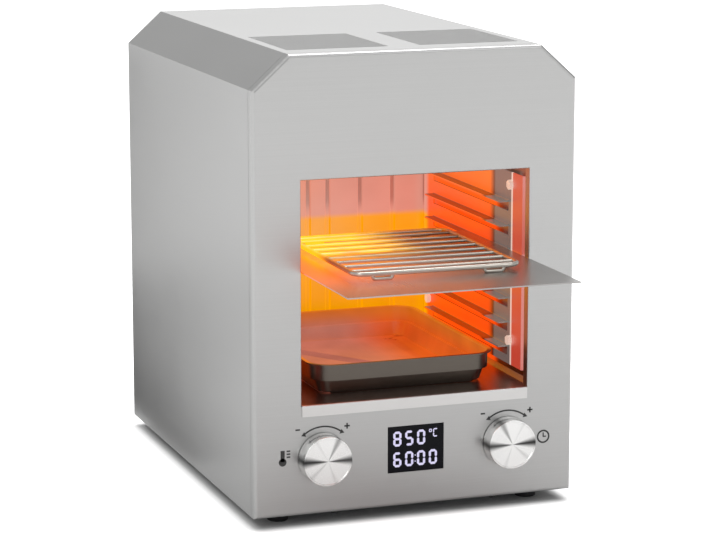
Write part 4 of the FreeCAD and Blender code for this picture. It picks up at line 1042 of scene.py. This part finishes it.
def beyond_casing(tree):
    """How far a point of the floor lies outside the casing's footprint."""
    place = own_parts(tree)
    squares = []
    for axis, middle, half in (("X", 0.0, panel_high.x - shadow_inset),
                               ("Y", casing_middle, casing_half - shadow_inset)):
        off = math_node(tree, "ABSOLUTE", math_node(tree, "SUBTRACT", place[axis], middle))
        beyond = math_node(tree, "MAXIMUM", math_node(tree, "SUBTRACT", off, half), 0.0)
        squares.append(math_node(tree, "POWER", beyond, 2.0))
    return math_node(tree, "SQRT", math_node(tree, "ADD", *squares))


def white_stage(name, colour, painted_shadow_colour):
    """Plain paint, darker near the casing as a painted shadow, that also shines, but only to rays that
    look at it away from the casing.
    """
    material, tree, shader = new_material(name, colour, 0.0, 0.9)
    path = add_node(tree, "LightPath")
    seen = math_node(tree, "MAXIMUM", path.outputs["Is Camera Ray"], path.outputs["Is Transmission Ray"])
    away = beyond_casing(tree)
    far = between(tree, away, 0.0, shadow_reach)
    # Darker paint close to the casing: a painted shadow.
    paint = colour_mix(tree, between(tree, away, 0.0, shadow_reach * 0.5), painted_shadow_colour, colour)
    wire(tree, paint, shader.inputs["Base Color"])
    mirrored = between(tree, away, mirror_near, mirror_far, 0.0, mirror_share)
    mirrored = product(tree, path.outputs["Is Glossy Ray"], mirrored)
    wire(tree, math_node(tree, "MULTIPLY_ADD", seen, far, mirrored), shader.inputs["Emission Strength"])
    shader.inputs["Emission Color"].default_value = (1, 1, 1, 1)
    return material


bpy.ops.mesh.primitive_plane_add(size=floor_size, location=(0, 0, 0))
floor = bpy.context.object
floor.name = "floor"
floor.data.materials.append(white_stage("floor_paint", (0.8, 0.8, 0.8), (0.55, 0.55, 0.55)))

# %% [markdown]
# Steel mirrors what stands around it. Photographers hold dark cloths, called flags, where a
# bright side should fall off. Two of them, seen only in reflections, darken the left side
# towards its rear and its foot. The low one turns pale away from the casing.

# %% Flag cloth
flag_grey, flag_tree, flag_shader = new_material("flag_cloth", (0.03, 0.03, 0.03), 0.0, 0.9)
flag_place = own_parts(flag_tree)
flag_slant = math_node(flag_tree, "MULTIPLY_ADD", flag_place["Y"], 0.31, flag_place["X"])
flag_fade = between(flag_tree, flag_slant, -0.06, -0.23)
wire(flag_tree, colour_mix(flag_tree, flag_fade, (0.03, 0.03, 0.03), (0.95, 0.95, 0.95)),
     flag_shader.inputs["Base Color"])

# %% Flags
for name, place, tilt, size in (("grey_flag_tall", (-0.02, 1.0, 0.14), math.pi / 2, (0.72, 0.26)),
                                ("grey_flag_low", (-0.29, 0.52, 0.004), 0.0, (0.28, 0.9))):
    bpy.ops.mesh.primitive_plane_add(size=1, location=place, rotation=(tilt, 0, 0))
    flag = bpy.context.object
    flag.name = name
    flag.scale = (*size, 1)
    settle(flag)
    flag.data.materials.append(flag_grey)
    flag.visible_camera = False
    flag.visible_shadow = False
    flag.visible_diffuse = False

# %% [markdown]
# The world is white to the camera, and lights the grill at half that strength. Four soft
# lamps add to it: one above, and weak ones behind, at the left and in front.

# %% World
ambient = 0.5
world = bpy.data.worlds.new("studio")
bpy.context.scene.world = world
world.use_nodes = True
sky = world.node_tree
background = sky.nodes["Background"]
path = add_node(sky, "LightPath")
seen = math_node(sky, "MAXIMUM", path.outputs["Is Camera Ray"], path.outputs["Is Transmission Ray"])
wire(sky, math_node(sky, "MULTIPLY_ADD", seen, 1.0 - ambient, ambient), background.inputs["Strength"])
background.inputs["Color"].default_value = (1, 1, 1, 1)


# %% Lamps
def soft_lamp(name, place, target, size, power):
    """A rectangular lamp of a size in metres and a power in watts, aimed at target."""
    lamp_data = bpy.data.lights.new(name, "AREA")
    lamp_data.shape = "RECTANGLE"
    lamp_data.size, lamp_data.size_y = size
    lamp_data.energy = power
    lamp = bpy.data.objects.new(name, lamp_data)
    lamp.location = place
    lamp.rotation_euler = (Vector(target) - Vector(place)).to_track_quat("-Z", "Y").to_euler()
    bpy.context.scene.collection.objects.link(lamp)


soft_lamp("lamp_above", (0.2, 0.35, 2.2), (0, 0, 0.2), (1.6, 1.6), 30)
soft_lamp("lamp_back", (1.2, 3.0, 1.0), (0, 0, 0.3), (2.4, 1.6), 8)
soft_lamp("lamp_left", (-1.3, -1.2, 1.2), (-0.13, -0.1, 0.2), (0.6, 0.9), 5)
soft_lamp("lamp_front", (1.4, -2.0, 1.6), (0, 0, 0.2), (1.2, 1.4), 7)
